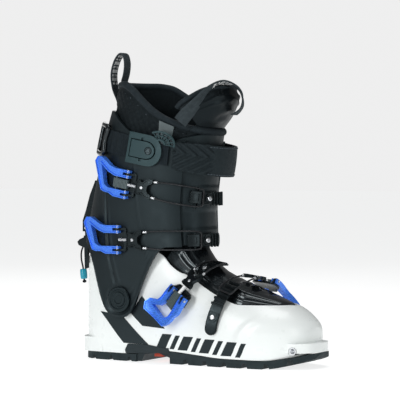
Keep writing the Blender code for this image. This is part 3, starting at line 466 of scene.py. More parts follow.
def cylinder_mesh(start, end, radius, sides=24):
    """A closed cylinder between two points."""
    start, end = Vector(start), Vector(end)
    bm = bmesh.new()
    turn = (end - start).to_track_quat("Z", "Y").to_matrix().to_4x4()
    bmesh.ops.create_cone(
        bm, cap_ends=True, segments=sides, radius1=radius, radius2=radius,
        depth=(end - start).length, matrix=Matrix.Translation((start + end) / 2) @ turn,
    )
    return bm


def turned_mesh(profile, centre, axis, sides):
    """A closed solid of revolution: profile is (distance along axis, radius), from one end to the other."""
    turn = Vector(axis).normalized().to_track_quat("Z", "Y").to_matrix()
    bm = bmesh.new()
    rings = []
    for along, radius in profile:
        angles = [2 * math.pi * k / sides for k in range(sides)]
        ring = [Vector((radius * math.cos(a), radius * math.sin(a), along)) for a in angles]
        rings.append([bm.verts.new(Vector(centre) + turn @ p) for p in ring])
    for a, b in zip(rings, rings[1:]):
        band(bm, a, b, closed=True)
    bm.faces.new(list(reversed(rings[0])))
    bm.faces.new(rings[-1])
    return bm


def smooth_path(points, count):
    """Evenly spaced points on a Catmull-Rom curve through the given points."""
    p = np.array(points, float)
    p = np.vstack([2 * p[0] - p[1], p, 2 * p[-1] - p[-2]])
    dense = []
    for i in range(1, len(p) - 2):
        for t in np.linspace(0, 1, 24, endpoint=False):
            dense.append(
                0.5 * (
                    2 * p[i]
                    + (p[i + 1] - p[i - 1]) * t
                    + (2 * p[i - 1] - 5 * p[i] + 4 * p[i + 1] - p[i + 2]) * t**2
                    + (3 * p[i] - p[i - 1] - 3 * p[i + 1] + p[i + 2]) * t**3
                )
            )
    dense.append(p[-2])
    dense = np.array(dense)
    length = np.concatenate([[0], np.cumsum(np.linalg.norm(np.diff(dense, axis=0), axis=1))])
    wanted = np.linspace(0, length[-1], count)
    return np.stack([np.interp(wanted, length, dense[:, k]) for k in range(3)], axis=1)


def tube_mesh(route, radius, sides, closed=False, bm=None):
    """A tube along a route. radius may be a function of the share of the way."""
    bm = bm or bmesh.new()
    route = np.array(route, float)
    tangent = np.gradient(route, axis=0)
    if closed:
        tangent = np.roll(route, -1, axis=0) - np.roll(route, 1, axis=0)
    tangent /= np.linalg.norm(tangent, axis=1)[:, None]
    side = np.cross(tangent[0], (0.31, 0.17, 0.93))
    rings = []
    for k, (place, along) in enumerate(zip(route, tangent)):
        side = side - along * np.dot(side, along)
        side /= np.linalg.norm(side)
        other = np.cross(along, side)
        r = radius(k / (len(route) - 1)) if callable(radius) else radius
        ring = []
        for j in range(sides):
            a = 2 * math.pi * j / sides
            ring.append(bm.verts.new(place + side * r * math.cos(a) + other * r * math.sin(a)))
        rings.append(ring)
    pairs = list(zip(rings, rings[1:]))
    if closed:
        first, last = rings[0], rings[-1]
        gaps = [(vertex.co - last[0].co).length for vertex in first]
        shift = gaps.index(min(gaps))
        pairs.append((last, [first[(j + shift) % sides] for j in range(sides)]))
    for a, b in pairs:
        band(bm, a, b, closed=True)
    if not closed:
        bm.faces.new(list(reversed(rings[0])))
        bm.faces.new(rings[-1])
    return bm


def sliced(bm, count):
    """Cuts a flat mesh across its length into count slices, so that it can be bent."""
    low = min(v.co.x for v in bm.verts)
    high = max(v.co.x for v in bm.verts)
    for k in range(1, count):
        cut = (low + (high - low) * k / count, 0, 0)
        geometry = bm.verts[:] + bm.edges[:] + bm.faces[:]
        bmesh.ops.bisect_plane(bm, geom=geometry, dist=1e-4, plane_co=cut, plane_no=(1, 0, 0))


class Ribbon:
    """A path over a surface. at() gives the point so far along it, across it and out from the surface."""

    def __init__(self, base, inner, zero_at):
        self.points = smooth_path(base, 240)
        steps = np.linalg.norm(np.diff(self.points, axis=0), axis=1)
        self.lengths = np.concatenate([[0], np.cumsum(steps)])
        nearest = np.argmin(np.linalg.norm(self.points - np.array(zero_at), axis=1))
        self.lengths -= self.lengths[nearest]
        tangent = np.gradient(self.points, axis=0)
        tangent /= np.linalg.norm(tangent, axis=1)[:, None]
        outward = self.points - np.array([inner(p) for p in self.points])
        outward -= tangent * np.sum(outward * tangent, axis=1)[:, None]
        outward /= np.linalg.norm(outward, axis=1)[:, None]
        self.frames = (tangent, outward, np.cross(outward, tangent))

    def frame(self, s):
        inside = min(max(s, self.lengths[0]), self.lengths[-1])
        place = np.array([np.interp(inside, self.lengths, self.points[:, k]) for k in range(3)])
        axes = []
        for values in self.frames:
            axis = np.array([np.interp(inside, self.lengths, values[:, k]) for k in range(3)])
            axes.append(axis / np.linalg.norm(axis))
        return place + axes[0] * (s - inside), *axes

    def at(self, s, across, out):
        place, _, outward, sideways = self.frame(s)
        return Vector(place + sideways * across + outward * out)

    def bend(self, bm, step=4.0):
        """Bends a flat mesh, whose coordinates are along, across and out, onto the path."""
        length = max(v.co.x for v in bm.verts) - min(v.co.x for v in bm.verts)
        sliced(bm, max(1, math.ceil(length / step)))
        for v in bm.verts:
            v.co = self.at(*v.co)
        return bm


# ---------------------------------------------------------------- camera, lights and floor


AZIMUTH = math.radians(29)  # of the camera, round from the outer side
ELEVATION = math.radians(1)
DISTANCE = 2.2  # in metres, like all the places of this section
TARGET = Vector((0.080, 0.0, 0.185))
SENSOR = 36.0
SPAN = 0.4  # a length at the target that fills this share of the picture
SPAN_SHARE = 0.875

# name: (place, aim, width, height, watts)
SOFTBOXES = {
    "key": ((-0.35, -1.95, 0.8), (0.05, 0, 0.15), 0.55, 1.5, 21),
    "fill": ((1.8, -0.7, 0.6), (0.10, 0, 0.12), 0.5, 1.2, 6),
    "rim": ((-0.9, 1.3, 1.1), (0.05, 0, 0.2), 0.7, 0.7, 3.5),
    "top": ((0.35, 0.1, 1.7), (0.10, 0, 0.1), 0.9, 0.9, 10),
}
WORLD_LIGHT = 0.17  # on the boot
WORLD_SEEN = 0.86  # in the picture

FLOOR_SIZE = 14000
FLOOR_DROP = 0.05


def aimed(made, place, direction):
    """Puts a camera or a light in the scene at place, looking in this direction."""
    made.location = place
    made.rotation_mode = "QUATERNION"
    made.rotation_quaternion = direction.to_track_quat("-Z", "Y")
    bpy.context.scene.collection.objects.link(made)


def build_camera():
    level = math.cos(ELEVATION)
    back = Vector((math.sin(AZIMUTH) * level, -math.cos(AZIMUTH) * level, math.sin(ELEVATION)))
    camera = bpy.data.objects.new("camera", bpy.data.cameras.new("camera"))
    aimed(camera, TARGET + back * DISTANCE, -back)
    camera.data.sensor_width = SENSOR
    camera.data.lens = SENSOR * SPAN_SHARE * DISTANCE / SPAN
    bpy.context.scene.camera = camera
    bpy.context.scene.view_settings.view_transform = "Standard"


def build_lights():
    """Four softboxes, and a pale world that is seen brighter than it lights."""
    for name, (place, aim, width, height, power) in SOFTBOXES.items():
        light = bpy.data.lights.new(name, "AREA")
        light.shape = "RECTANGLE"
        light.size, light.size_y = width, height
        light.energy = power
        aimed(bpy.data.objects.new(name, light), place, Vector(aim) - Vector(place))
    world = bpy.data.worlds.new("studio")
    bpy.context.scene.world = world
    world.use_nodes = True
    tree = world.node_tree
    background = tree.nodes["Background"]
    background.inputs["Color"].default_value = (1, 1, 1, 1)
    seen = tree.nodes.new("ShaderNodeLightPath")
    strength = tree.nodes.new("ShaderNodeMapRange")
    strength.inputs["To Min"].default_value = WORLD_LIGHT
    strength.inputs["To Max"].default_value = WORLD_SEEN
    tree.links.new(seen.outputs["Is Camera Ray"], strength.inputs["Value"])
    tree.links.new(strength.outputs["Result"], background.inputs["Strength"])


def build_floor():
    """A floor as bright as the world, so that no horizon shows."""
    paper = Look("pale_paper", (0.42, 0.43, 0.43), 0.7)
    paper.tint(paper.noise(3, 2), (0.44, 0.445, 0.445))
    paper.rough(paper.noise(40, 3), 0.65, 0.8)
    paper.set(Emission_Color=(0.985, 0.99, 0.99, 1.0), Emission_Strength=0.79)
    bm = bmesh.new()
    bmesh.ops.create_grid(bm, x_segments=2, y_segments=2, size=FLOOR_SIZE)
    bmesh.ops.translate(bm, verts=bm.verts, vec=(0, 0, -FLOOR_DROP))
    bmesh.ops.scale(bm, vec=(MM, MM, MM), verts=bm.verts)
    object_from("floor", bm, paper.material)


# ---------------------------------------------------------------- lower shell


def plan_half(x):
    """Half-width of the shell at its widest height."""
    if x < HEEL_WALL_X + HEEL_RADIUS:
        share = min(1.0, (HEEL_WALL_X + HEEL_RADIUS - x) / HEEL_RADIUS)
        return HEEL_RADIUS * math.sqrt(max(0.0, 1 - share**2))
    half = hermite(PLAN, x)
    toe_start = TOE_WALL_X - TOE_ROUND
    if x > toe_start:
        share = min(1.0, (x - toe_start) / TOE_ROUND)
        half *= max(0.0, 1 - share**2.5) ** (1 / 2.5)
    return half


FLOOR_POINTS = 3  # on each half of the shell's floor


def shell_section(x, top_z, wall_points):
    """Points round the shell at x, from the outer side's edge, under the floor, to the inner side's edge."""
    floor_z = hermite(FLOOR, x)
    crest = hermite(CREST, x)
    half = plan_half(x)
    top = min(max(0.0, (top_z - WIDEST_Z) / (crest - WIDEST_Z)), 1.0)
    last_angle = math.asin(top)
    side = []
    for k in range(wall_points):
        angle = last_angle * (1 - k / (wall_points - 1))
        side.append((half * math.cos(angle), WIDEST_Z + (crest - WIDEST_Z) * math.sin(angle)))
    for k in range(1, 9):
        drop = k / 8
        side.append((half * (1 - 0.1 * drop**2), WIDEST_Z + (floor_z - WIDEST_Z) * drop))
    corner = side[-1][0]
    for k in range(1, FLOOR_POINTS + 1):
        side.append((corner * (1 - k / FLOOR_POINTS), floor_z))
    centre = hermite(CENTRE, x)
    outer = [(x, centre - y, z) for y, z in side]
    inner = [(x, centre + y, z) for y, z in reversed(side[:-1])]
    return outer + inner


def foot_stations(step):
    """X values along the foot, closer together where the heel and the toe are round."""
    heel = [HEEL_WALL_X + HEEL_RADIUS * (1 - math.cos(math.radians(a))) for a in range(0, 88, 6)]
    start, end = HEEL_WALL_X + HEEL_RADIUS, TOE_WALL_X - TOE_ROUND * 0.55
    body = list(np.linspace(start, end, round((end - start) / step)))
    length = TOE_ROUND * 0.55
    toe = [TOE_WALL_X - length * (1 - math.sin(math.radians(a))) for a in range(6, 91, 6)]
    return heel + body + toe


def line_distance(points, x, z):
    """Distance from a point to a line through points in the side view, positive above or behind it."""
    best = None
    for (ax, az), (bx, bz) in zip(points, points[1:]):
        dx, dz = bx - ax, bz - az
        t = min(1.0, max(0.0, ((x - ax) * dx + (z - az) * dz) / (dx * dx + dz * dz)))
        gap = math.hypot(x - ax - t * dx, z - az - t * dz)
        if best is None or gap < abs(best):
            best = math.copysign(gap, dx * (z - az) - dz * (x - ax))
    return best


TOE_CREASE = [(168, 54), (160, 47), (152, 35), (147, 22)]
SECOND_CREASE = [(176, 48), (166, 42), (160, 37)]


def shell_relief(p):
    """The toe box stands a little proud of the midfoot, with a soft second fold behind its corner."""
    x, z = p.x, p.z
    height = 1.9 * ease((line_distance(TOE_CREASE, x, z) + 2.5) / 5)
    height *= ease((z - 16) / 10) * ease((62 - z) / 12) * ease((205 - x) / 40)
    fold = line_distance(SECOND_CREASE, x, z)
    height -= 0.9 * math.exp(-(fold / 1.8) ** 2)
    rail = 0.9 * math.exp(-(((z - hermite(FLOOR, x)) - 3.4) / 1.6) ** 2)
    heel_line = 0.5 * math.exp(-((z - 38) / 1.4) ** 2) * ease((-30 - x) / 12)
    return height + rail * 0.6 + heel_line


def lug_outline(lug):
    """Plan outline of a sole lug: a straight inner end and a rounded outer end."""
    inner, outer, half = lug
    sign = 1 if outer > inner else -1
    length = abs(outer - inner)
    found = [(inner, -half)]
    for k in range(25):
        a = math.pi * (k / 24 - 0.5)
        across = half * math.copysign(abs(math.sin(a)) ** 0.8, a)
        found.append((inner + sign * length * math.cos(a) ** 0.62, across))
    found.append((inner, half))
    return [p for k, p in enumerate(found) if k == 0 or math.dist(p, found[k - 1]) > 0.5]


TOE_LUG = (200.0, SOLE_TOE_X, 34.0)
HEEL_LUG = (-30.0, SOLE_HEEL_X, 34.0)
TOE_PIN = (214.0, 20.5)
HEEL_SOCKET = (-62.0, 12.5, 24.0, 10.0)


def build_lower_shell():
    rows = []
    for x in foot_stations(3.2):
        top = min(hermite(THROAT, x), hermite(CREST, x)) if x < 203 else hermite(CREST, x)
        rows.append(shell_section(x, top, 30))
    shell = thick_sheet("shell_body", rows, "shell_white", (60, 0, 60), 0.0, SHELL_WALL, shell_relief)
    rounded_off(shell, 1.1, 50)
    boolean(shell, prism(lug_outline(TOE_LUG), 2, 18.5, 28.7), "UNION")
    boolean(shell, prism(lug_outline(HEEL_LUG), 2, 9.3, 26.0), "UNION")
    boss = prism([(-69, 107), (-58, 107), (-58, 118), (-69, 118)], 1, -4.0, 4.0)
    boolean(shell, boss, "UNION")
    boolean(shell, cylinder_mesh((0, -60, PIVOT_Z), (0, 60, PIVOT_Z), 5.0, 32), "DIFFERENCE")
    x, z = TOE_PIN
    boolean(shell, cylinder_mesh((x, -60, z), (x, 60, z), 4.6, 32), "DIFFERENCE")
    front, low, high, half = HEEL_SOCKET
    socket = [(front + 0.3, low - 0.3), (-80, low - 0.3), (-80, high + 0.3), (front + 0.3, high + 0.3)]
    boolean(shell, prism(socket, 1, -half - 0.3, half + 0.3), "DIFFERENCE")
    smoothed(shell.data, 40)
    placed(shell, "shell", ["lower_shell"])


def shell_side(x, z, side, lift):
    """Point on the shell's side wall. side is -1 on the outer side and 1 on the inner side."""
    half = plan_half(x)
    if z >= WIDEST_Z:
        rise = min(1.0, (z - WIDEST_Z) / (hermite(CREST, x) - WIDEST_Z))
        y = half * math.sqrt(1 - rise**2)
    else:
        drop = (WIDEST_Z - z) / (WIDEST_Z - hermite(FLOOR, x))
        y = half * (1 - 0.1 * drop**2)
    bulge = shell_relief(Vector((x, 0, z)))
    return Vector((x, hermite(CENTRE, x) + side * (y + bulge + lift), z))


def side_patch(name, corners, look, surface, side, thick=0.35, rows=14, columns=14):
    """A thin raised patch on one side of the boot. Its corners run from the lower rear to the lower front."""
    a, b, c, d = (Vector((*p, 0)) for p in corners)
    points = []
    for i in range(rows + 1):
        v = i / rows
        row = []
        for j in range(columns + 1):
            u = j / columns
            p = (a * (1 - u) + b * u) * (1 - v) + (d * (1 - u) + c * u) * v
            row.append(surface(p.x, p.y, side, thick))
        points.append(row)
    return thick_sheet(name, points, look, (60, 0, 60), 0.0, thick + 0.6)


STRIPE_REAR = [(0.6, 21.1), (34.7, 20.6), (-0.9, 52.8), (-31.4, 56.2)]
STRIPE_FRONT = [(27.3, 41.8), (58.4, 40.0), (26.2, 76.1), (11, 55.7)]
BAND_START, BAND_END = 50.0, 158.0
BAND_SLANT = 5.0
BAND_GAP = 5


def join_pieces(name, pieces):
    """One object from several with the same material."""
    bm = bmesh.new()
    for piece in pieces:
        bm.from_mesh(piece.data)
    material = pieces[0].data.materials[0]
    for piece in pieces:
        bpy.data.objects.remove(piece)
    return object_from(name, bm, material)


def build_shell_marks():
    """Two slanted stripes below the pivot and a row of slanted bars along the sole line, on both sides."""
    for side, where in ((-1, "outer"), (1, "inner")):
        for number, corners in enumerate((STRIPE_REAR, STRIPE_FRONT), 1):
            stripe = side_patch(f"{where}_stripe_{number}", corners, "mark_black", shell_side, side)
            placed(stripe, "shell")
        bars = []
        x = BAND_START
        for width in (13, 6) * 4:
            middle = 26.0 - 6.0 * (x - BAND_START) / (BAND_END - BAND_START)
            low, high = middle - 8.0, middle + 8.0
            rear, front = x - BAND_SLANT, x + BAND_SLANT
            corners = [(rear, low), (rear + width, low), (front + width, high), (front, high)]
            bars.append(side_patch(f"{where}_bar", corners, "mark_black", shell_side, side, 0.3, 6, 5))
            x += width + BAND_GAP
        placed(join_pieces(f"{where}_bar_row", bars), "shell")


def build_liner_foot():
    rows = []
    for x in foot_stations(6):
        crest = hermite(CREST, x)
        around = PIVOT_Z + math.sqrt(max(0.0, 71.0**2 - x**2))
        ahead = PIVOT_Z + x * math.tan(math.radians(27))
        top = around if x <= 0 else max(around * (x < 60), ahead)
        rows.append(shell_section(x, min(top, crest), 16))
    liner = thick_sheet("liner_foot_pad", rows, "liner_foam", (60, 0, 60), 9.5, 4.5)
    boolean(liner, prism([(-80, 0), (260, 0), (260, 31), (-80, 31)], 1, -80, 80), "DIFFERENCE")
    placed(liner, "shell", ["liner_foot"])


# ---------------------------------------------------------------- cuff and flap


def cuff_point(angle, z, inset=0.0):
    """Point on the cuff's outer face. The angle is in degrees from the front, positive to the outer side."""
    rear = hermite(CUFF_REAR, z) + inset
    front = hermite(CUFF_FRONT, z) - inset
    half = hermite(CUFF_HALF, z) - inset
    power = 2 / hermite(CUFF_POWER, z)
    c, s = math.cos(math.radians(angle)), math.sin(math.radians(angle))
    x = (front + rear) / 2 + (front - rear) / 2 * math.copysign(abs(c) ** power, c)
    return Vector((x, -half * math.copysign(abs(s) ** power, s), z))


def height_on(table, angle):
    """Height on the cuff at this angle where an edge given by X lies."""
    return settled_value(hermite(table, 20.0), lambda z: hermite(table, cuff_point(angle, z).x))


def section_angles(start, end, count):
    """Angles round a section, spread so that the points are evenly spaced along it."""
    dense = np.linspace(start, end, 400)
    places = [cuff_point(a, 160.0) for a in dense]
    steps = [(b - a).length for a, b in zip(places, places[1:])]
    length = np.concatenate([[0], np.cumsum(steps)])
    return np.interp(np.linspace(0, length[-1], count), length, dense)


SPINE_GROOVE = [(-4, 86), (-9, 104), (-14, 122), (-17, 150), (-19, 186), (-20, 210)]
MOULD_SEAM = [(22, 236), (23.5, 190), (26, 165), (31, 143), (36, 128), (40, 112)]


def groove(distance, width, depth):
    return -depth * math.exp(-((distance / width) ** 4))


def cuff_relief(p):
    """A double rib up the rear side, a mould seam, a rim along the wings and a boss round each pivot."""
    side_on = ease((abs(p.y) - 22) / 10)
    height = 0.0
    gap = line_distance(SPINE_GROOVE, p.x, p.z)
    if p.z > 84:
        height += side_on * (groove(gap, 1.5, 0.9) + 0.7 * math.exp(-((abs(gap) - 3.1) / 1.2) ** 2))
    seam = line_distance(MOULD_SEAM, p.x, p.z)
    height += side_on * (0.35 * math.exp(-((seam / 0.9) ** 2)))
    edge = p.z - hermite(CUFF_LOW, p.x)
    height += 0.5 * side_on * math.exp(-(((edge - 3.2) / 2.0) ** 2)) * ease((128 - p.z) / 10)
    ring = math.hypot(p.x, p.z - PIVOT_Z)
    height -= 0.9 * ease((17.5 - ring) / 1.6)
    height += 0.6 * math.exp(-(((ring - 18.6) / 1.2) ** 2)) * side_on
    return height


def build_cuff():
    rows = []
    for angle in section_angles(CUFF_EDGE_LATERAL, 360 + CUFF_EDGE_MEDIAL, 190):
        low, high = height_on(CUFF_LOW, angle), height_on(CUFF_HIGH, angle)
        rows.append([cuff_point(angle, low + (high - low) * k / 72) for k in range(73)])
    cuff = thick_sheet("cuff_body", rows, "cuff_black", (25, 0, 170), 0.0, CUFF_WALL, cuff_relief, 42)
    boolean(cuff, cylinder_mesh((0, -60, PIVOT_Z), (0, 60, PIVOT_Z), 7.0, 32), "DIFFERENCE")
    rounded_off(cuff, 0.9, 55)
    placed(cuff, "cuff", ["cuff_shell"])


RACK_HEIGHTS = (187, 140)


def flap_relief(p):
    """Raised fields under the two racks, with a soft step round them."""
    return sum(ease((14.5 - abs(p.z - z)) / 2.0) for z in RACK_HEIGHTS) * ease((p.x - 77) / 4)


def build_flap():
    rows = []
    for angle in section_angles(FLAP_REACH, -FLAP_REACH, 90):
        high = height_on(FLAP_HIGH, angle)
        rows.append([cuff_point(angle, z) for z in np.linspace(FLAP_LOW, high, 84)])
    flap = thick_sheet("front_flap", rows, "cuff_black", (25, 0, 170), FLAP_INSET, FLAP_WALL, flap_relief, 42)
    rounded_off(flap, 0.9, 55)
    placed(flap, "cuff", ["cuff_flap"])


# ---------------------------------------------------------------- liner


def liner_inset(angle):
    """The liner fills the cuff behind, and stays inside the flap in front."""
    away = abs((angle + 180) % 360 - 180)
    return TONGUE_INSET + (SHAFT_INSET - TONGUE_INSET) * ease((away - 82) / 34)


def liner_point(angle, z):
    flare = 3.0 * min(1.0, max(0.0, (z - 290) / 25))
    return cuff_point(angle, z, liner_inset(angle) - flare)


def liner_low(x):
    """Lower edge of the liner's shaft, outside the circle and the ray that the liner's foot keeps within."""
    around = math.sqrt(max(0.0, (88.5 if x < 0 else 79.0) ** 2 - x**2))
    return PIVOT_Z + max(around, x * math.tan(math.radians(43)), 62.0)


def liner_edges(angle):
    """Heights of the liner's lower and upper edge at this angle."""
    edge = LINER_HIGH if angle < 180 else LINER_HIGH_INNER
    low = settled_value(140.0, lambda z: liner_low(liner_point(angle, z).x))
    high = settled_value(290.0, lambda z: hermite(edge, liner_point(angle, z).x))
    return low, high


SCALE_PITCH = 9.0


def scale_field(u, v):
    """Height of an embossed pattern of overlapping scales, 0 in the seams and 1 on top."""
    step = 0.62 * SCALE_PITCH
    row = math.floor(v / step)
    best = 0.0
    for r in (row, row + 1):
        shift = 0.5 * SCALE_PITCH * (r % 2)
        column = round((u - shift) / SCALE_PITCH)
        du = u - shift - column * SCALE_PITCH
        best = max(best, 1 - (math.hypot(du, v - r * step) / (0.56 * SCALE_PITCH)) ** 4)
    return max(0.0, best)


def liner_relief(p):
    """Quilted scales on the upper side panels, inside a plain border under the rim."""
    below = hermite(LINER_HIGH, p.x) - p.z
    panel = ease((below - 8) / 3) ** 2 * ease((p.z - 252) / 6) * ease((abs(p.y) - 8) / 6)
    puff = 0.8 * math.sin(math.pi * min(1.0, max(0.0, below / 40)))
    return puff + panel * (2.4 * scale_field(p.x - 0.35 * p.z, p.z + 0.4 * p.x) - 1.0)


WRAP_END = -34.0  # degrees round the cuff, on the inner side
RIM_RADIUS = 4.3


def wrap_point(angle, t, out):
    """Point of the liner where it laps over the tongue, with t from 0 under the flap to 1 on top."""
    z = 246 + (hermite(LINER_HIGH, liner_point(angle, 265).x) - 2.5 - 246) * t
    p = liner_point(angle, z)
    outward = Vector((math.cos(math.radians(angle)), -math.sin(math.radians(angle)), 0))
    return p + Vector((hermite(TONGUE_LEAN, z), 0, 0)) + outward * out


def liner_side(x, z, side, lift):
    """Point on the liner's outer face at this X and height."""
    low, high = 0.0, 180.0
    for _ in range(30):
        angle = (low + high) / 2
        if liner_point(angle, z).x > x:
            low = angle
        else:
            high = angle
    p = liner_point(angle, z)
    return Vector((p.x, side * (abs(p.y) + lift), p.z))


def build_liner_shaft():
    rows = []
    tops = []
    for angle in section_angles(TONGUE_EDGE, 360 - TONGUE_EDGE, 170):
        low, high = liner_edges(angle)
        middle = max(low, 235.0)
        levels = list(np.linspace(low, middle, 14)) + list(np.linspace(middle, high - 1.5, 44))[1:]
        rows.append([liner_point(angle, z) for z in levels])
        tops.append(liner_point(angle, high - 3.5))
    wall = LINER_WALL - 1
    shaft = thick_sheet("liner_shaft_pad", rows, "liner_foam", (25, 0, 200), 0.0, wall, liner_relief, 60)
    placed(shaft, "cuff", ["liner_shaft"])
    centre = Vector((25, 0, 280))
    route = [wrap_point(angle, 1.0, 1.6) for angle in np.linspace(WRAP_END, 38, 40)]
    for p in tops[1:]:
        inward = Vector((centre.x - p.x, centre.y - p.y, 0)).normalized()
        route.append(p + inward * 3.0 + Vector((0, 0, 1.2)))
    rows = []
    for angle in np.linspace(WRAP_END, TONGUE_EDGE + 4, 50):
        rows.append([wrap_point(angle, t, 1.8) for t in np.linspace(0, 1, 16)])
    wrap = thick_sheet("liner_front_wrap", rows, "liner_smooth", (25, 0, 240), 0.0, 1.5, None, 60)
    placed(wrap, "cuff")
    rim = make_piece("liner_rim_binding", tube_mesh(route, RIM_RADIUS, 14), "binding", 60)
    placed(rim, "cuff")
    # A raised tab on the liner's outer side. Its light grey is a painted highlight, standing in for the white
    # glint on a shiny plastic lip.
    corners = ((53, 275), (70, 268), (67, 255), (52, 260))
    lip_highlight = side_patch("liner_lip_painted_highlight", corners, "adjuster_grey", liner_side, -1, 3.2)
    placed(lip_highlight, "cuff")
    angles = section_angles(TONGUE_EDGE + 8, 352 - TONGUE_EDGE, 110)
    below_rim = [liner_point(angle, liner_edges(angle)[1] - 10.5) for angle in angles]
    build_stitches("liner_rim_stitches", below_rim, (25, 0, 280))


def build_stitches(name, route, centre, length=2.8, lift=0.9):
    """A row of short raised stitches on the cuff, one for every second step of the route."""
    bm = bmesh.new()
    for a, b in list(zip(route, route[1:]))[::2]:
        a, b = Vector(a), Vector(b)
        outward = Vector(((a.x - centre[0]), (a.y - centre[1]), 0)).normalized()
        middle = (a + b) / 2 + outward * lift
        half = (b - a).normalized() * length / 2
        sunk_by = outward * 0.5
        path = [middle - half - sunk_by, middle - half / 2, middle + half / 2, middle + half - sunk_by]
        tube_mesh(path, 0.5, 6, bm=bm)
    placed(make_piece(name, bm, "thread", 80), "cuff")


def tongue_point(side, t):
    """Point of the tongue: side runs from -1 to 1 across it, and t from its lower to its upper edge."""
    z = 166 + (TONGUE_TOP - 24 * abs(side) ** 3 - 166) * t
    angle = side * hermite(WING_OUTER if side > 0 else WING_INNER, z)
    return liner_point(angle, z) + Vector((hermite(TONGUE_LEAN, z), 0, 0))


def tongue_relief(p):
    """Moulded ribs across the front of the upper tongue, and two ridges round its wings under the edge."""
    up = ease((p.z - 268) / 8)
    front = ease((21 - abs(p.y)) / 9)
    ribs = math.cos((p.z + 0.25 * abs(p.y)) * 2 * math.pi / 12.0)
    share = min(1.0, abs(p.y) / 43)
    below = TONGUE_TOP - 24 * share**4 - p.z
    ridges = sum(h * math.exp(-(((below - depth) / 1.7) ** 2)) for depth, h in ((9.5, 1.3), (17.5, 1.1)))
    return up * (0.55 * ribs * front + ridges * (1 - front) + 0.6 * (1 - front))


def build_liner_tongue():
    steps = list(np.linspace(0, 0.62, 14)) + list(np.linspace(0.62, 1.0, 52))[1:]
    rows = [[tongue_point(1 - k / 35, t) for t in steps] for k in range(71)]
    tongue = thick_sheet("tongue_pad", rows, "liner_smooth", (25, 0, 240), 0.0, 5.0, tongue_relief, 60)
    rounded_off(tongue, 1.6, 60)
    placed(tongue, "cuff", ["liner_tongue"])
    edge = [tongue_point(1 - k / 35, 0.985) + Vector((-2.6, 0, 0.5)) for k in range(71)]
    binding = make_piece("tongue_binding", tube_mesh(edge, 3.3, 12), "binding", 60)
    placed(binding, "cuff")


# ---------------------------------------------------------------- instep gasket


def gasket_point(x_foot, crest_x, crest_z, angle):
    """Point of the gasket's section at an angle from its outer edge, over the ridge, to its inner edge."""
    edge = min(hermite(THROAT, x_foot), hermite(CREST, x_foot) - 0.8)
    rise = (edge - WIDEST_Z) / (hermite(CREST, x_foot) - WIDEST_Z)
    half = plan_half(x_foot) * math.sqrt(1 - rise**2) - SHELL_WALL - 1.6
    low = edge - 4.0
    lift = math.sin(math.radians(angle)) ** 0.8
    y = -half * math.cos(math.radians(angle))
    return (x_foot + (crest_x - x_foot) * lift, hermite(CENTRE, x_foot) + y, low + (crest_z - low) * lift)


GASKET_RIBS = [(16, 0.8), (29, 1.0), (44, 0.9), (136, 0.9), (151, 1.0), (164, 0.8)]  # degrees and height


def gasket_lift(share, angle):
    """Height of the gasket's lengthwise ribs, its front bumps and the folds at the ankle."""
    fade = ease(share * 5) * ease((1 - share) * 7)
    lift = sum(h * math.exp(-(((angle - a) / 3.4) ** 2)) for a, h in GASKET_RIBS) * fade
    crown = ease((28 - abs(angle - 90)) / 12)
    folds = math.cos(share * 2 * math.pi * 21) * ease((share - 0.66) * 12) * ease((0.95 - share) * 14)
    return lift + 0.55 * crown * folds - 0.9 * crown * math.exp(-(((share - 0.2) / 0.045) ** 2))


def build_gasket():
    shares = np.linspace(0, len(GASKET_FOOT) - 1, 130)
    order = range(len(GASKET_FOOT))
    rows = []
    for share in shares:
        x = np.interp(share, order, [p[0] for p in GASKET_CREST])
        z = np.interp(share, order, [p[1] for p in GASKET_CREST])
        foot = np.interp(share, order, GASKET_FOOT)
        row = []
        for k in range(121):
            angle = 1.5 * k
            lift = gasket_lift(share / shares[-1], angle)
            place = Vector(gasket_point(foot, x, z, angle))
            up = Vector((0.25, -math.cos(math.radians(angle)), math.sin(math.radians(angle)))).normalized()
            row.append(place + up * lift)
        rows.append(row)
    gasket = thick_sheet("instep_gasket_body", rows, "gasket_black", (120, 0, 40), 0.0, 2.2, None, 50)
    placed(gasket, "shell", ["instep_gasket"])


# ---------------------------------------------------------------- buckles

# A ribbon's coordinates are s along it from the hinge, across it, and out from the surface.
PIN_OUT = 7.0
PIN_RADIUS = 1.5
TRUNNION_S = -14.0
TRUNNION_OUT = 5.8
RACK_BASE = 1.8
TOOTH = 3.7
TOOTH_PITCH = 6.4
GROOVE = 3.1
CABLE_RADIUS = 1.1


def lever_outline():
    """The lever seen from outside: two arms joined by a slanted bar, each arm forked at the hinge."""
    upper = [
        (2.8, 16.2), (2.8, 13.4), (-5.4, 13.4), (-5.4, 10.3), (2.8, 10.3), (2.8, 7.5), (-16, 7.5),
        (-25, 10.5), (-36, 17.5),
    ]
    lower = [
        (-29.5, -4.5), (-24, -7.5), (2.8, -7.5), (2.8, -10.3), (-5.4, -10.3), (-5.4, -13.4), (2.8, -13.4),
        (2.8, -16.2),
    ]
    back = [
        (-15, -16.2), (-21, -13.5), (-29, -13.5), (-34, -12), (-48, 19), (-43, 25.5), (-36, 25.5),
        (-22, 17.5), (-15, 16.2),
    ]
    return upper + lower + back


def sunk(outline, low, high, rim, depth):
    """A prism from low to high whose outer face is sunk by depth inside a rim of this width."""
    bm = prism(outline, 2, low, high)
    top = max(bm.faces, key=lambda f: f.calc_center_median().z)
    bmesh.ops.inset_region(bm, faces=[top], thickness=rim, use_even_offset=True)
    bmesh.ops.inset_region(bm, faces=[top], thickness=0.35, use_even_offset=True)
    for v in top.verts:
        v.co.z -= depth
    return bm


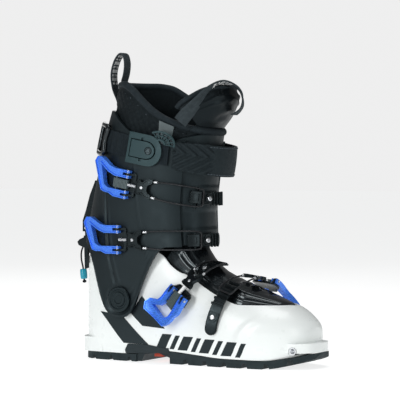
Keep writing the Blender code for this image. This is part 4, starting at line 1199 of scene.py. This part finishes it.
def build_lever(name, ribbon):
    """A channelled alloy lever: a rim round a sunk web, with the hinge pin's bore through its forks."""
    shape = sunk(lever_outline(), 3.3, 9.0, 0.95, 1.3)
    lever = make_piece(name + "_lever_body", ribbon.bend(shape), "lever_blue")
    hole = cylinder_mesh(ribbon.at(0, -20, PIN_OUT), ribbon.at(0, 20, PIN_OUT), PIN_RADIUS + 0.2)
    boolean(lever, hole, "DIFFERENCE")
    ends = (ribbon.at(TRUNNION_S, -12.3, TRUNNION_OUT), ribbon.at(TRUNNION_S, 12.3, TRUNNION_OUT))
    boolean(lever, cylinder_mesh(*ends, 1.6), "DIFFERENCE")
    smoothed(lever.data, 35)
    bevelled(lever, 0.35, 2, 50)
    placed(lever, name + "_lever", [name + "_lever"])


def build_adjuster(name, ribbon, barrel_look):
    """The ribbed block between the lever's arms, its trunnion pins and the threaded barrel in front."""
    top = []
    s = -16.4
    while s < 0:
        top += [(s, 8.2), (s + 0.9, 8.2), (s + 1.2, 7.6), (s + 1.5, 7.6)]
        s += 1.8
    profile = [(-17, 3.2), (1, 3.2), (1, 7.6), *reversed(top), (-17, 7.6)]
    bent = ribbon.bend(prism(profile, 1, -5.2, 5.2), 6)
    block = make_piece(name + "_adjuster_block", bent, "adjuster_grey")
    reach = (ribbon.at(TRUNNION_S, -11.9, TRUNNION_OUT), ribbon.at(TRUNNION_S, 11.9, TRUNNION_OUT))
    boolean(block, cylinder_mesh(*reach, 1.3), "UNION")
    bevelled(block, 0.25, 2, 50)
    placed(block, name + "_loop", [name + "_adjuster"])
    start, end = ribbon.at(1.2, 0, 5.6), ribbon.at(11.4, 0, 4.8)
    axis = end - start
    rings = []
    for k in range(33):
        along = axis.length * k / 32
        rings.append((along, 2.0 + 0.22 * math.sin(2 * math.pi * k / 3.2)))
    barrel = make_piece(name + "_barrel", turned_mesh(rings, start, axis, 24), barrel_look, 60)
    placed(barrel, name + "_loop")


def build_yoke(name, ribbon):
    """An H-shaped yoke, with the barrel at one side and short sleeves for the cable's ends at the other."""
    outline = [
        (11.6, -3.4), (12.2, -7.6), (14, -8.8), (16.6, -8.0), (18, -6.4), (20.5, -6.8), (24, -10.2),
        (30.2, -11.2), (31.4, -9.5), (30.6, -6.4), (27.4, -5.0), (25.6, -2.6),
    ]
    outline += [(s, -across) for s, across in reversed(outline)]
    yoke = make_piece(name + "_yoke_body", ribbon.bend(sunk(outline, 2.6, 6.6, 1.0, 0.9), 5), "trim_black")
    bevelled(yoke, 0.4, 2, 45)
    placed(yoke, name + "_loop", [name + "_yoke"])
    profile = [(0, 1.9), (0.5, 1.9), (0.9, 1.4), (0.9, 0.9), (0.4, 0.7), (0.4, 0.1)]
    outward = ribbon.at(18.6, 0, 8) - ribbon.at(18.6, 0, 4)
    turned = turned_mesh(profile, ribbon.at(18.6, 0, 5.7), outward, 24)
    placed(make_piece(name + "_yoke_rivet", turned, "steel"), name + "_loop")


YOKE_END = 31.0
YOKE_MIDDLE = 4.5  # height of the cable in the yoke


def cable_path(hook, out):
    """The cable from the yoke, round the hook's groove at this height, and back to the yoke."""
    dip = YOKE_END + 0.35 * (hook - YOKE_END)
    side = [
        (YOKE_END, 8.8, YOKE_MIDDLE), (dip, 10.4, 0.6 * YOKE_MIDDLE + 0.4 * out), (hook - 18, 10.6, out),
        (hook - 8, 10.4, out), (hook - 1.6, 9.4, out), (hook, 7.4, out), (hook, 3.5, out),
    ]
    return side + [(hook, 0.0, out)] + [(s, -h, o) for s, h, o in reversed(side)]


def ferrule_radius(t):
    """A sleeve with crimped rings, for the share t of the way along it."""
    return 1.65 - 0.25 * math.cos(2 * math.pi * 3 * t) ** 8


def build_cable(name, ribbon, hook, out):
    """A coated steel cable, with a steel ferrule where each end leaves the yoke."""
    route = smooth_path(cable_path(hook, out), 150)
    places = [ribbon.at(*p) for p in route]
    cable = make_piece(name + "_cable_loop", tube_mesh(places, 0.95, 10), "cable_black", 60)
    placed(cable, name + "_loop", [name + "_cable"])
    bm = bmesh.new()
    for ends in (places[1:7], places[-7:-1]):
        tube_mesh(smooth_path(ends, 9), ferrule_radius, 16, bm=bm)
    ferrules = make_piece(name + "_ferrules", bm, "steel", 50)
    placed(ferrules, name + "_loop")


def rounded_end(start, end, half, point):
    """Outline of a strap from start to end, square behind and rounded in front over the length of point."""
    angles = [math.pi * k / 24 for k in range(25)]
    front = [(end + point * (math.sin(a) - 1), -half * math.cos(a)) for a in angles]
    return [(start, -half), *front, (start, half)]


def build_plate(name, ribbon, low, high, base, top, body, windowed, rounded):
    """A raised plate of a rack. A windowed one has a deep square recess, where the cable's end is caught."""
    outline = rounded_end(low + 0.2, high - 0.2, 6.5, 6.5 if rounded else 0.6)
    bm = sunk(outline, base - 0.4, top, 2.6 if windowed else 0.9, 1.6 if windowed else 0.4)
    plate = make_piece(name, ribbon.bend(bm, 3), "trim_black")
    bevelled(plate, 0.5, 3, 50)
    placed(plate, body)


def build_rack(name, body, ribbon, hook, out, start, end, plates, seat):
    """A rack on a base strap: plates, the last with a screw, and rounded teeth in the rest of it.

    start, end, plates and hook are places along the ribbon. seat is the height of the strap's underside.
    """
    floor, tip = out + RACK_BASE, out + TOOTH
    pad = tip - 0.8
    base = rounded_end(start - 0.5, end + 0.5, 7.0, 7.0 if seat == out else 2.0)
    strap = make_piece(name + "_rack_base", ribbon.bend(prism(base, 2, seat, floor), 3), "trim_black")
    bevelled(strap, 0.5, 3, 50)
    placed(strap, body, [name + "_rack"])
    for k, (low, high) in enumerate(plates):
        windowed, rounded = k + 1 < len(plates), high == end
        build_plate(f"{name}_rack_plate_{k + 1}", ribbon, low, high, floor, pad, body, windowed, rounded)
    bm = bmesh.new()
    for k in range(-12, 12):
        back = hook + GROOVE / 2 + k * TOOTH_PITCH
        front = back + TOOTH_PITCH - GROOVE
        clear = all(front < low - 1 or back > high + 1 for low, high in plates)
        if start < back and front < end and clear:
            profile = [
                (back, floor - 0.6), (back + 0.15, tip - 0.9), (back + 0.6, tip - 0.15),
                (back + 1.2, tip + 0.1), (back + 1.9, tip - 0.2), (front - 0.2, floor + 0.8),
                (front, floor - 0.6),
            ]
            one = ribbon.bend(prism(profile, 1, -7.9, 7.9), 12)
            mesh = bpy.data.meshes.new("tooth")
            one.to_mesh(mesh)
            one.free()
            bm.from_mesh(mesh)
            bpy.data.meshes.remove(mesh)
    teeth = make_piece(name + "_rack_teeth", bm, "trim_black")
    bevelled(teeth, 0.45, 3, 50)
    placed(teeth, body)
    middle = plates[-1][0] + 6.5
    outward = ribbon.at(middle, 0, 10) - ribbon.at(middle, 0, 5)
    head = [(0, 3.0), (0.7, 3.0), (1.2, 2.7), (1.5, 2.0), (1.5, 1.4), (0.6, 1.2), (0.6, 0.1)]
    turned = turned_mesh(head, ribbon.at(middle, 0, pad + 0.4), outward, 32)
    placed(make_piece(name + "_screw_head", turned, "steel"), body, [name + "_screw"])
    washer = [(0, 5.6), (0.6, 5.6), (1.0, 5.2), (1.0, 4.4), (0.4, 4.0), (0.4, 3.1)]
    turned = turned_mesh(washer, ribbon.at(middle, 0, pad - 0.3), outward, 36)
    placed(make_piece(name + "_screw_washer", turned, "trim_black"), body)


def build_bracket(name, ribbon, body):
    """A plate with two rounded ears, and a steel pin through each ear on which the lever's forks turn."""
    plate = [(-8, -13), (-6, -15), (6, -15), (9, -12), (9, 12), (6, 15), (-6, 15), (-8, 13)]
    bracket = make_piece(name + "_bracket_body", ribbon.bend(prism(plate, 2, 0.5, 2.2), 4), "trim_black")
    ear = [(-3.6, 1.0), (8, 1.0)]
    angles = np.radians(np.linspace(10, 190, 15))
    ear += [(3.3 * math.cos(a), PIN_OUT + 3.3 * math.sin(a)) for a in angles]
    pins = bmesh.new()
    for side in (1, -1):
        low, high = sorted((side * 10.7, side * 13.0))
        boolean(bracket, ribbon.bend(prism(ear, 1, low, high), 30), "UNION")
        route = [ribbon.at(0, side * t, PIN_OUT) for t in (6.8, 7.1, 11.8, 16.5, 16.8)]
        shares = {0: 1.2, 0.25: 1.5, 0.5: 1.5, 0.75: 1.5, 1: 1.2}
        tube_mesh(route, lambda t: shares[round(t, 2)] * PIN_RADIUS / 1.5, 20, bm=pins)
    bevelled(bracket, 0.35, 2, 45)
    placed(bracket, body, [name + "_bracket"])
    placed(make_piece(name + "_hinge_pins", pins, "steel"), body)


def build_buckle(name, body, ribbon, hook, out, barrel_look="steel", **rack):
    """A buckle with its lever, its loop from the adjuster to the hook, and its rack."""
    build_bracket(name, ribbon, body)
    build_lever(name, ribbon)
    build_adjuster(name, ribbon, barrel_look)
    build_yoke(name, ribbon)
    build_cable(name, ribbon, hook, out + RACK_BASE + CABLE_RADIUS + 0.45)
    build_rack(name, body, ribbon, hook, out, **rack)


def cuff_ribbon(z_zero, tilt, zero_angle):
    """A ribbon round the cuff from the outer rear to the front, sloping down forwards by the tilt."""
    slope = math.tan(math.radians(tilt))
    zero = cuff_point(zero_angle, z_zero)
    base = []
    for angle in np.linspace(172, -42, 34):
        z = z_zero
        for _ in range(8):
            z = z_zero - slope * (cuff_point(angle, z).x - zero.x)
        base.append(cuff_point(angle, z))

    def inner(p):
        middle = (hermite(CUFF_REAR, p[2]) + hermite(CUFF_FRONT, p[2])) / 2
        return (middle + 0.45 * (p[0] - middle), 0.0, p[2])

    return Ribbon(base, inner, zero)


def foot_point(x, angle, lift):
    """Point over the lower shell. The angle is in degrees, from the outer side's widest line over the top."""
    rise = math.sin(math.radians(angle))
    y = hermite(CENTRE, x) - (plan_half(x) + lift) * math.cos(math.radians(angle))
    return (x, y, WIDEST_Z + (hermite(CREST, x) + lift - WIDEST_Z) * rise)


def foot_ribbon(stops, zero):
    def inner(p):
        return (p[0] - 6, 0.25 * p[1], 42.0)

    return Ribbon([foot_point(*stop) for stop in stops], inner, foot_point(*zero))


# height, tilt and angle round the cuff of the hinge
UPPER_BUCKLE = (203, 11.0, 95)
LOWER_BUCKLE = (140, 0.0, 96)
# X, angle over the shell and distance from it; the hinge is at the fourth place
INSTEP_PATH = [
    (36, 1, 3), (52, 5, 3), (66, 11, 4), (81, 25, 4.5), (95, 45, 5), (105, 67, 7.4), (113, 90, 8.0),
    (117, 112, 7.6), (120, 135, 7),
]
TOE_PATH = [
    (155, 178, 6), (154, 160, 6), (153, 140, 7), (151, 116, 8), (147, 90, 8), (139, 62, 7), (131, 38, 5),
    (125, 16, 3), (122, 0, 2), (120, -20, 2),
]


def build_buckles():
    """Two buckles on the cuff, whose racks reach down onto the flap, and two on the shell."""
    flap = 1.3 - FLAP_INSET
    build_buckle(
        "upper_buckle", "cuff", cuff_ribbon(*UPPER_BUCKLE), hook=88.2, out=0.6,
        start=74.5, end=128, plates=[(74.5, 86.5), (89.8, 101.5)], seat=flap,
    )
    build_buckle(
        "lower_buckle", "cuff", cuff_ribbon(*LOWER_BUCKLE), hook=97.7, out=0.6,
        start=84, end=132, plates=[(84, 96), (99.3, 111)], seat=flap,
    )
    build_buckle(
        "instep_buckle", "shell", foot_ribbon(INSTEP_PATH, INSTEP_PATH[3]), hook=62, out=0.0,
        start=34, end=72, plates=[(34, 46)], seat=0.0, barrel_look="mark_light",
    )
    build_buckle(
        "toe_buckle", "shell", foot_ribbon(TOE_PATH, TOE_PATH[3]), hook=71, out=0.0,
        start=52, end=121, plates=[(95, 121)], seat=0.0,
    )


# ---------------------------------------------------------------- power strap

STRAP_SLOPE = 0.21
STRAP_Z = 250.0
STRAP_BULGE = 11.0
STRAP_HALF = 17.5
WEBBING_HALF = 13.0


def strap_point(angle, across, out):
    """Point beside the cuff on the strap's tilted plane. The strap stands off in front, over the tongue."""
    z = settled_value(245.0, lambda z: STRAP_Z - STRAP_SLOPE * cuff_point(angle, z).x + across, 10)
    front = max(0.0, math.cos(math.radians(angle))) ** 1.5
    return cuff_point(angle, z, -out) + Vector((STRAP_BULGE * front, 0, 0))


def strap_band(name, look, angles, half, out, wall, rows_across, relief, taper=None):
    """A band of the strap. relief takes the share along and the place across, and gives a height."""
    rows = []
    for k, angle in enumerate(angles):
        share = k / (len(angles) - 1)
        reach = half * (taper(share) if taper else 1)
        places = [reach * (2 * j / rows_across - 1) for j in range(rows_across + 1)]
        rows.append([strap_point(angle, across, out + relief(share, across)) for across in places])
    return thick_sheet(name, rows, look, (30, 0, 240), 0.0, wall, None, 45)


def build_strap():
    def fine_ribs(t, across):
        return 0.55 * math.cos(t * 2 * math.pi * 12) * ease((WEBBING_HALF - 1 - abs(across)) / 2)

    angles = section_angles(167, 68, 150)
    webbing = strap_band("strap_webbing_band", "webbing_black", angles, WEBBING_HALF, 2.2, 1.6, 12, fine_ribs)
    placed(webbing, "cuff", ["strap_webbing"])

    def elastic(t, across):
        """V-shaped ribs behind, and a padded swell that is flattened at the hem."""
        hem = ease((STRAP_HALF - abs(across)) / 3)
        chevron = math.cos((t * 190 + 0.9 * abs(across - 4)) * 2 * math.pi / 7.5)
        ribs = ease((0.150 - t) / 0.012)
        swell = 0.9 * math.sin(math.pi * (across + STRAP_HALF) / (2 * STRAP_HALF))
        return swell * (1 - ribs) * hem + 1.25 * chevron * ribs * hem

    def narrowing(t):
        return 1.0 - 0.14 * ease((0.10 - t) / 0.10) - 0.05 * ease((t - 0.6) / 0.2)

    angles = section_angles(64, -172, 300)
    strap = strap_band(
        "power_strap_band", "strap_black", angles, half=STRAP_HALF, out=4.0, wall=3.0, rows_across=36,
        relief=elastic, taper=narrowing,
    )
    rounded_off(strap, 0.9, 60)
    placed(strap, "cuff", ["power_strap"])
    for edge, name in ((15.6, "upper"), (-15.6, "lower")):
        route = [strap_point(a, edge, 4.3) for a in section_angles(30, -165, 150)]
        build_stitches(f"strap_{name}_stitches", route, (30, 0, 240), 2.2, 0.1)


def d_outline(rear, front, half):
    """A D-shaped outline in strap degrees: square behind, and rounded in front."""
    points = []
    for k in range(13):
        a = math.radians(-90 + 180 * k / 12)
        points.append((front + (rear - front) * 0.42 * (1 - math.cos(a)), half * math.sin(a)))
    return [(rear, -half)] + points + [(rear, half)]


def strap_plate_mesh(outline, low, high):
    """A plate whose outline is in strap degrees and millimetres across, bent onto the strap."""
    bm = prism(outline, 2, low, high)
    sliced(bm, 12)
    for v in bm.verts:
        v.co = strap_point(v.co.x, v.co.y, v.co.z)
    return bm


def build_strap_plate():
    """The grey D-shaped plate with a push latch in its window, and a stud on the latch."""
    outline = d_outline(99, 73.5, 18.0)
    plate = make_piece("strap_plate_body", strap_plate_mesh(outline, 2.6, 5.6), "strap_plate_grey")
    window = strap_plate_mesh(d_outline(97, 78.0, 11.0), 1.0, 9.0)
    boolean(plate, window, "DIFFERENCE")
    for across in (-12.4, 12.4):
        slit = [(89.6, across - 1.4), (88.2, across - 1.4), (88.2, across + 1.4), (89.6, across + 1.4)]
        boolean(plate, strap_plate_mesh(slit, 3.8, 9.0), "DIFFERENCE")
    bevelled(plate, 0.7, 3, 45)
    placed(plate, "cuff", ["strap_plate"])
    outline = d_outline(96.2, 78.9, 10.0)
    latch = make_piece("strap_latch_tongue", strap_plate_mesh(outline, 3.2, 6.2), "strap_plate_grey")
    bevelled(latch, 0.6, 3, 45)
    placed(latch, "latch", ["strap_latch"])
    centre = strap_point(83.5, 0, 6.0)
    outward = strap_point(83.5, 0, 9.0) - centre
    profile = [(0, 4.6), (0.5, 4.6), (0.8, 4.1), (0.5, 3.4), (0.5, 2.6), (1.1, 2.1), (1.1, 0.1)]
    stud = make_piece("strap_latch_stud", turned_mesh(profile, centre, outward, 32), "pivot_grey")
    placed(stud, "latch")
    ring = [
        (156, -10), (157.5, -14.5), (145, -17), (131, -14.5), (132.5, 0), (131, 14.5), (145, 17),
        (157.5, 14.5), (156, 0),
    ]
    loop = [strap_point(a, h, 4.6) for a, h in ring]
    loop.append(loop[0])
    route = smooth_path(loop, 91)[:-1]
    keeper = make_piece("strap_ring_body", tube_mesh(route, 2.9, 14, closed=True), "gasket_black", 60)
    placed(keeper, "cuff", ["strap_ring"])


def build_strap_fan():
    """A small fan of grey ribs on the cuff, over the front of the strap's plate."""

    def spot(radius, angle, out):
        a = math.radians(angle)
        return strap_point(75.5 - radius * math.cos(a) / 1.12, 11.0 + radius * math.sin(a), out)

    bm = bmesh.new()
    for radius, width in ((4.0, 1.5), (8.6, 0.8), (13.2, 1.3)):
        tube_mesh([spot(radius, a, 4.4) for a in np.linspace(-8, 128, 40)], width, 10, bm=bm)
    for angle in np.linspace(-4, 124, 7):
        tube_mesh([spot(r, angle, 4.2) for r in np.linspace(4.0, 13.0, 8)], 0.75, 8, bm=bm)
    placed(make_piece("strap_fan_ribs", bm, "strap_plate_grey", 60), "cuff")
    rows = [[spot(r, a, 3.0) for r in np.linspace(1.0, 13.4, 8)] for a in np.linspace(-8, 128, 30)]
    back = thick_sheet("strap_fan_back", rows, "trim_black", (30, 0, 240), 0.0, 1.4)
    placed(back, "cuff")


# ---------------------------------------------------------------- pull loops


def loop_frames(path, count, start_side):
    """Places, sideways and outward directions along a loop. It twists evenly and ends with its width on Y."""
    route = smooth_path(path, count)
    tangent = np.gradient(route, axis=0)
    tangent /= np.linalg.norm(tangent, axis=1)[:, None]
    across = np.array(start_side, float)
    sides = []
    for along in tangent:
        across = across - along * np.dot(across, along)
        across /= np.linalg.norm(across)
        sides.append(across)
    twist = math.atan2(np.cross(sides[-1], tangent[-1])[1], sides[-1][1])
    frames = []
    for k, (place, along, across) in enumerate(zip(route, tangent, sides)):
        turned = twist * k / (count - 1)
        across = across * math.cos(turned) + np.cross(across, along) * math.sin(turned)
        frames.append((place, across, np.cross(across, along)))
    return frames


def webbing_loop(name, frames, half):
    """A flat webbing loop with raised ribs along it and rolled edges."""
    bm = bmesh.new()
    sides = []
    for depth in (0.0, LOOP_WALL):
        sign = 1 if depth == 0 else -1
        grid = []
        for place, across, normal in frames:
            row = []
            for j in range(17):
                t = j / 8 - 1
                rib = 0.16 * math.cos(t * math.pi * 5) - 0.5 * abs(t) ** 8
                row.append(bm.verts.new(Vector(place + across * t * half + normal * (sign * rib - depth))))
            grid.append(row)
        sides.append(grid)
    top, under = sides
    rings = [a + b[::-1] for a, b in zip(top, under)]
    for a, b in zip(rings, rings[1:]):
        band(bm, a, b, closed=True)
    for end in (0, -1):
        band(bm, top[end], under[end])
    loop = make_piece(name + "_band", bm, "loop_black", 60)
    placed(loop, "cuff", [name + "_loop"])


TWIN_BARS = ((-0.45, 0.30), (0.45, 0.30))  # middle and half width, as shares of the loop's half width
BLOCK = ((0.0, 0.75),)


def webbing_marks(name, frames, half, lift):
    """Plain woven blocks and twin bars along a stretch of a webbing loop."""
    bm = bmesh.new()
    step, number = 0, 0
    while step + 5 < len(frames):
        twin = number % 2
        size = 3 if twin else 5
        for offset, reach in TWIN_BARS if twin else BLOCK:
            grid = []
            for k in range(size + 1):
                place, across, normal = frames[step + k]
                row = []
                for t in (-1, 0, 1):
                    aside = across * half * (offset + reach * t)
                    row.append(bm.verts.new(Vector(place + aside + normal * lift)))
                grid.append(row)
            for a, b in zip(grid, grid[1:]):
                band(bm, a, b)
        step += size + 2
        number += 1
    bmesh.ops.solidify(bm, geom=bm.faces[:], thickness=0.3)
    placed(make_piece(name, bm, "mark_light", 50), "cuff")


REAR_LOOP = [
    (-20, 0, 322), (-17, 0, 332), (-16, 0, 344), (-19, 0, 354), (-25, 0, 355), (-32, 0, 346), (-36, 0, 331),
    (-34, 0, 314), (-28, 0, 300), (-25.6, 0, 291),
]
REAR_LOOP_HALF = 7.5
FRONT_LOOP = [
    (79.0, -44.8, 273), (86.0, -44.4, 280.5), (93.6, -42.9, 288), (102, -41, 297), (110.5, -36.5, 308),
    (118.5, -23, 316.5), (126, -8, 314.5), (131, 0, 308), (132.5, 3, 299), (131, 4, 291), (126, 4, 285.5),
    (121.5, 4, 283),
]
FRONT_LOOP_SIDE = (0.8, 0.35, -0.45)
FRONT_LOOP_HALF = 8.0
LOOP_WALL = 1.8


def build_pull_loops():
    """Both loops. The marks are inside the rear loop's rear run, and outside on top of the front one."""
    rear = loop_frames(REAR_LOOP, 130, (0, 1, 0))
    webbing_loop("rear_pull", rear, REAR_LOOP_HALF)
    webbing_marks("rear_pull_marks", rear[48:97], REAR_LOOP_HALF, -LOOP_WALL - 0.2)
    front = loop_frames(FRONT_LOOP, 150, FRONT_LOOP_SIDE)
    webbing_loop("front_pull", front, FRONT_LOOP_HALF)
    webbing_marks("front_pull_marks", front[66:96], FRONT_LOOP_HALF, 0.25)


# ---------------------------------------------------------------- cord and arch


def build_cord():
    """The thin braided pull cord under the lock lever's tip, with its bead and the knot at its end."""
    stops = [
        (-78, 0, 129.2), (-80.5, 0, 122), (-80.4, 0, 113), (-78.2, 0, 104), (-77.3, 0, 96), (-76.2, 0, 86),
    ]
    route = smooth_path(stops, 40)
    points = [[c * MM for c in p] for p in route]
    length = sum(math.dist(a, b) for a, b in zip(points, points[1:]))
    cord = make_piece("pull_cord_braid", tube_mesh(route, 1.0, 12), "cord_black", 60)
    axis = Vector((-0.1, 0, 1)).normalized()
    start = Vector((-76.7, 0, 90.4))
    profile = [
        (0, 3.0), (0.5, 3.6), (1.2, 3.95), (3, 4.1), (6, 4.2), (9, 4.1), (10.8, 3.9), (11.6, 3.5), (12, 3.0),
    ]
    bead = make_piece("pull_cord_bead", turned_mesh(profile, start, axis, 32), "bead_teal", 50)
    boolean(bead, cylinder_mesh(start - axis * 3, start + axis * 15, 1.75, 24), "DIFFERENCE")
    smoothed(bead.data, 50)
    knot_profile = [(0, 0.3), (0.4, 1.6), (1.2, 2.3), (2.2, 2.4), (3.0, 1.9), (3.5, 1.1)]
    turned = turned_mesh(knot_profile, (-76.0, 0, 85.8), (-0.1, 0, 1), 20)
    knot = make_piece("pull_cord_knot", turned, "cord_black")
    placed(cord, "lock", ["pull_cord"])
    placed(bead, "lock", ["cord_bead"])
    placed(knot, "lock")
    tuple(points[0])


def build_arch_cover():
    """The grey cover over the arch, which rises onto the shell's side walls."""
    for side, name in ((-1, "outer"), (1, "inner")):
        rows = []
        for k in range(30):
            x = 2 + 60 * k / 29
            crown = 20.5 - 3.0 * ease((x - 30) / 30) - 7.0 * ease((8 - x) / 6) ** 2
            low = max(9.3, hermite(FLOOR, x) - 3.0)
            rows.append([shell_side(x, low + (crown - low) * t, side, 0.9) for t in np.linspace(0, 1, 8)])
        cover = thick_sheet(f"arch_cover_{name}", rows, "shank_grey", (30, 0, 15), 0.0, 2.0)
        bevelled(cover, 0.5, 2, 45)
        placed(cover, "shell")


# ---------------------------------------------------------------- CAD nodes that stay

# name of the node: its look and the width of its bevels in mm
KEPT = {
    "outsole_front": ("sole_rubber", 0.5),
    "outsole_heel": ("sole_rubber", 0.5),
    "arch_shank": ("shank_grey", 0.4),
    "arch_insert": ("insert_orange", 0.3),
    "toe_fitting": ("steel", 0.2),
    "heel_fitting": ("steel", 0.3),
    "outer_pivot": ("pivot_grey", 0.2),
    "inner_pivot": ("pivot_grey", 0.2),
    "lock_pin": ("steel", 0.2),
    "spine_rivet_upper": ("steel", 0.2),
    "spine_rivet_lower": ("steel", 0.2),
    "spine_plate": ("trim_black", 0.5),
    "lock_lever": ("trim_black", 0.5),
}


def dress_kept_nodes():
    """New materials and rounded edges for the nodes that keep their CAD mesh."""
    for name, (look, width) in KEPT.items():
        node = NODES[name]
        node.data.materials.clear()
        node.data.materials.append(LOOKS[look].material)
        bevelled(node, width, 2)


make_looks()
build_camera()
build_lights()
build_floor()
build_lower_shell()
build_shell_marks()
build_liner_foot()
build_cuff()
build_flap()
build_liner_shaft()
build_liner_tongue()
build_gasket()
build_buckles()
build_strap()
build_strap_plate()
build_strap_fan()
build_pull_loops()
build_cord()
build_arch_cover()
dress_kept_nodes()
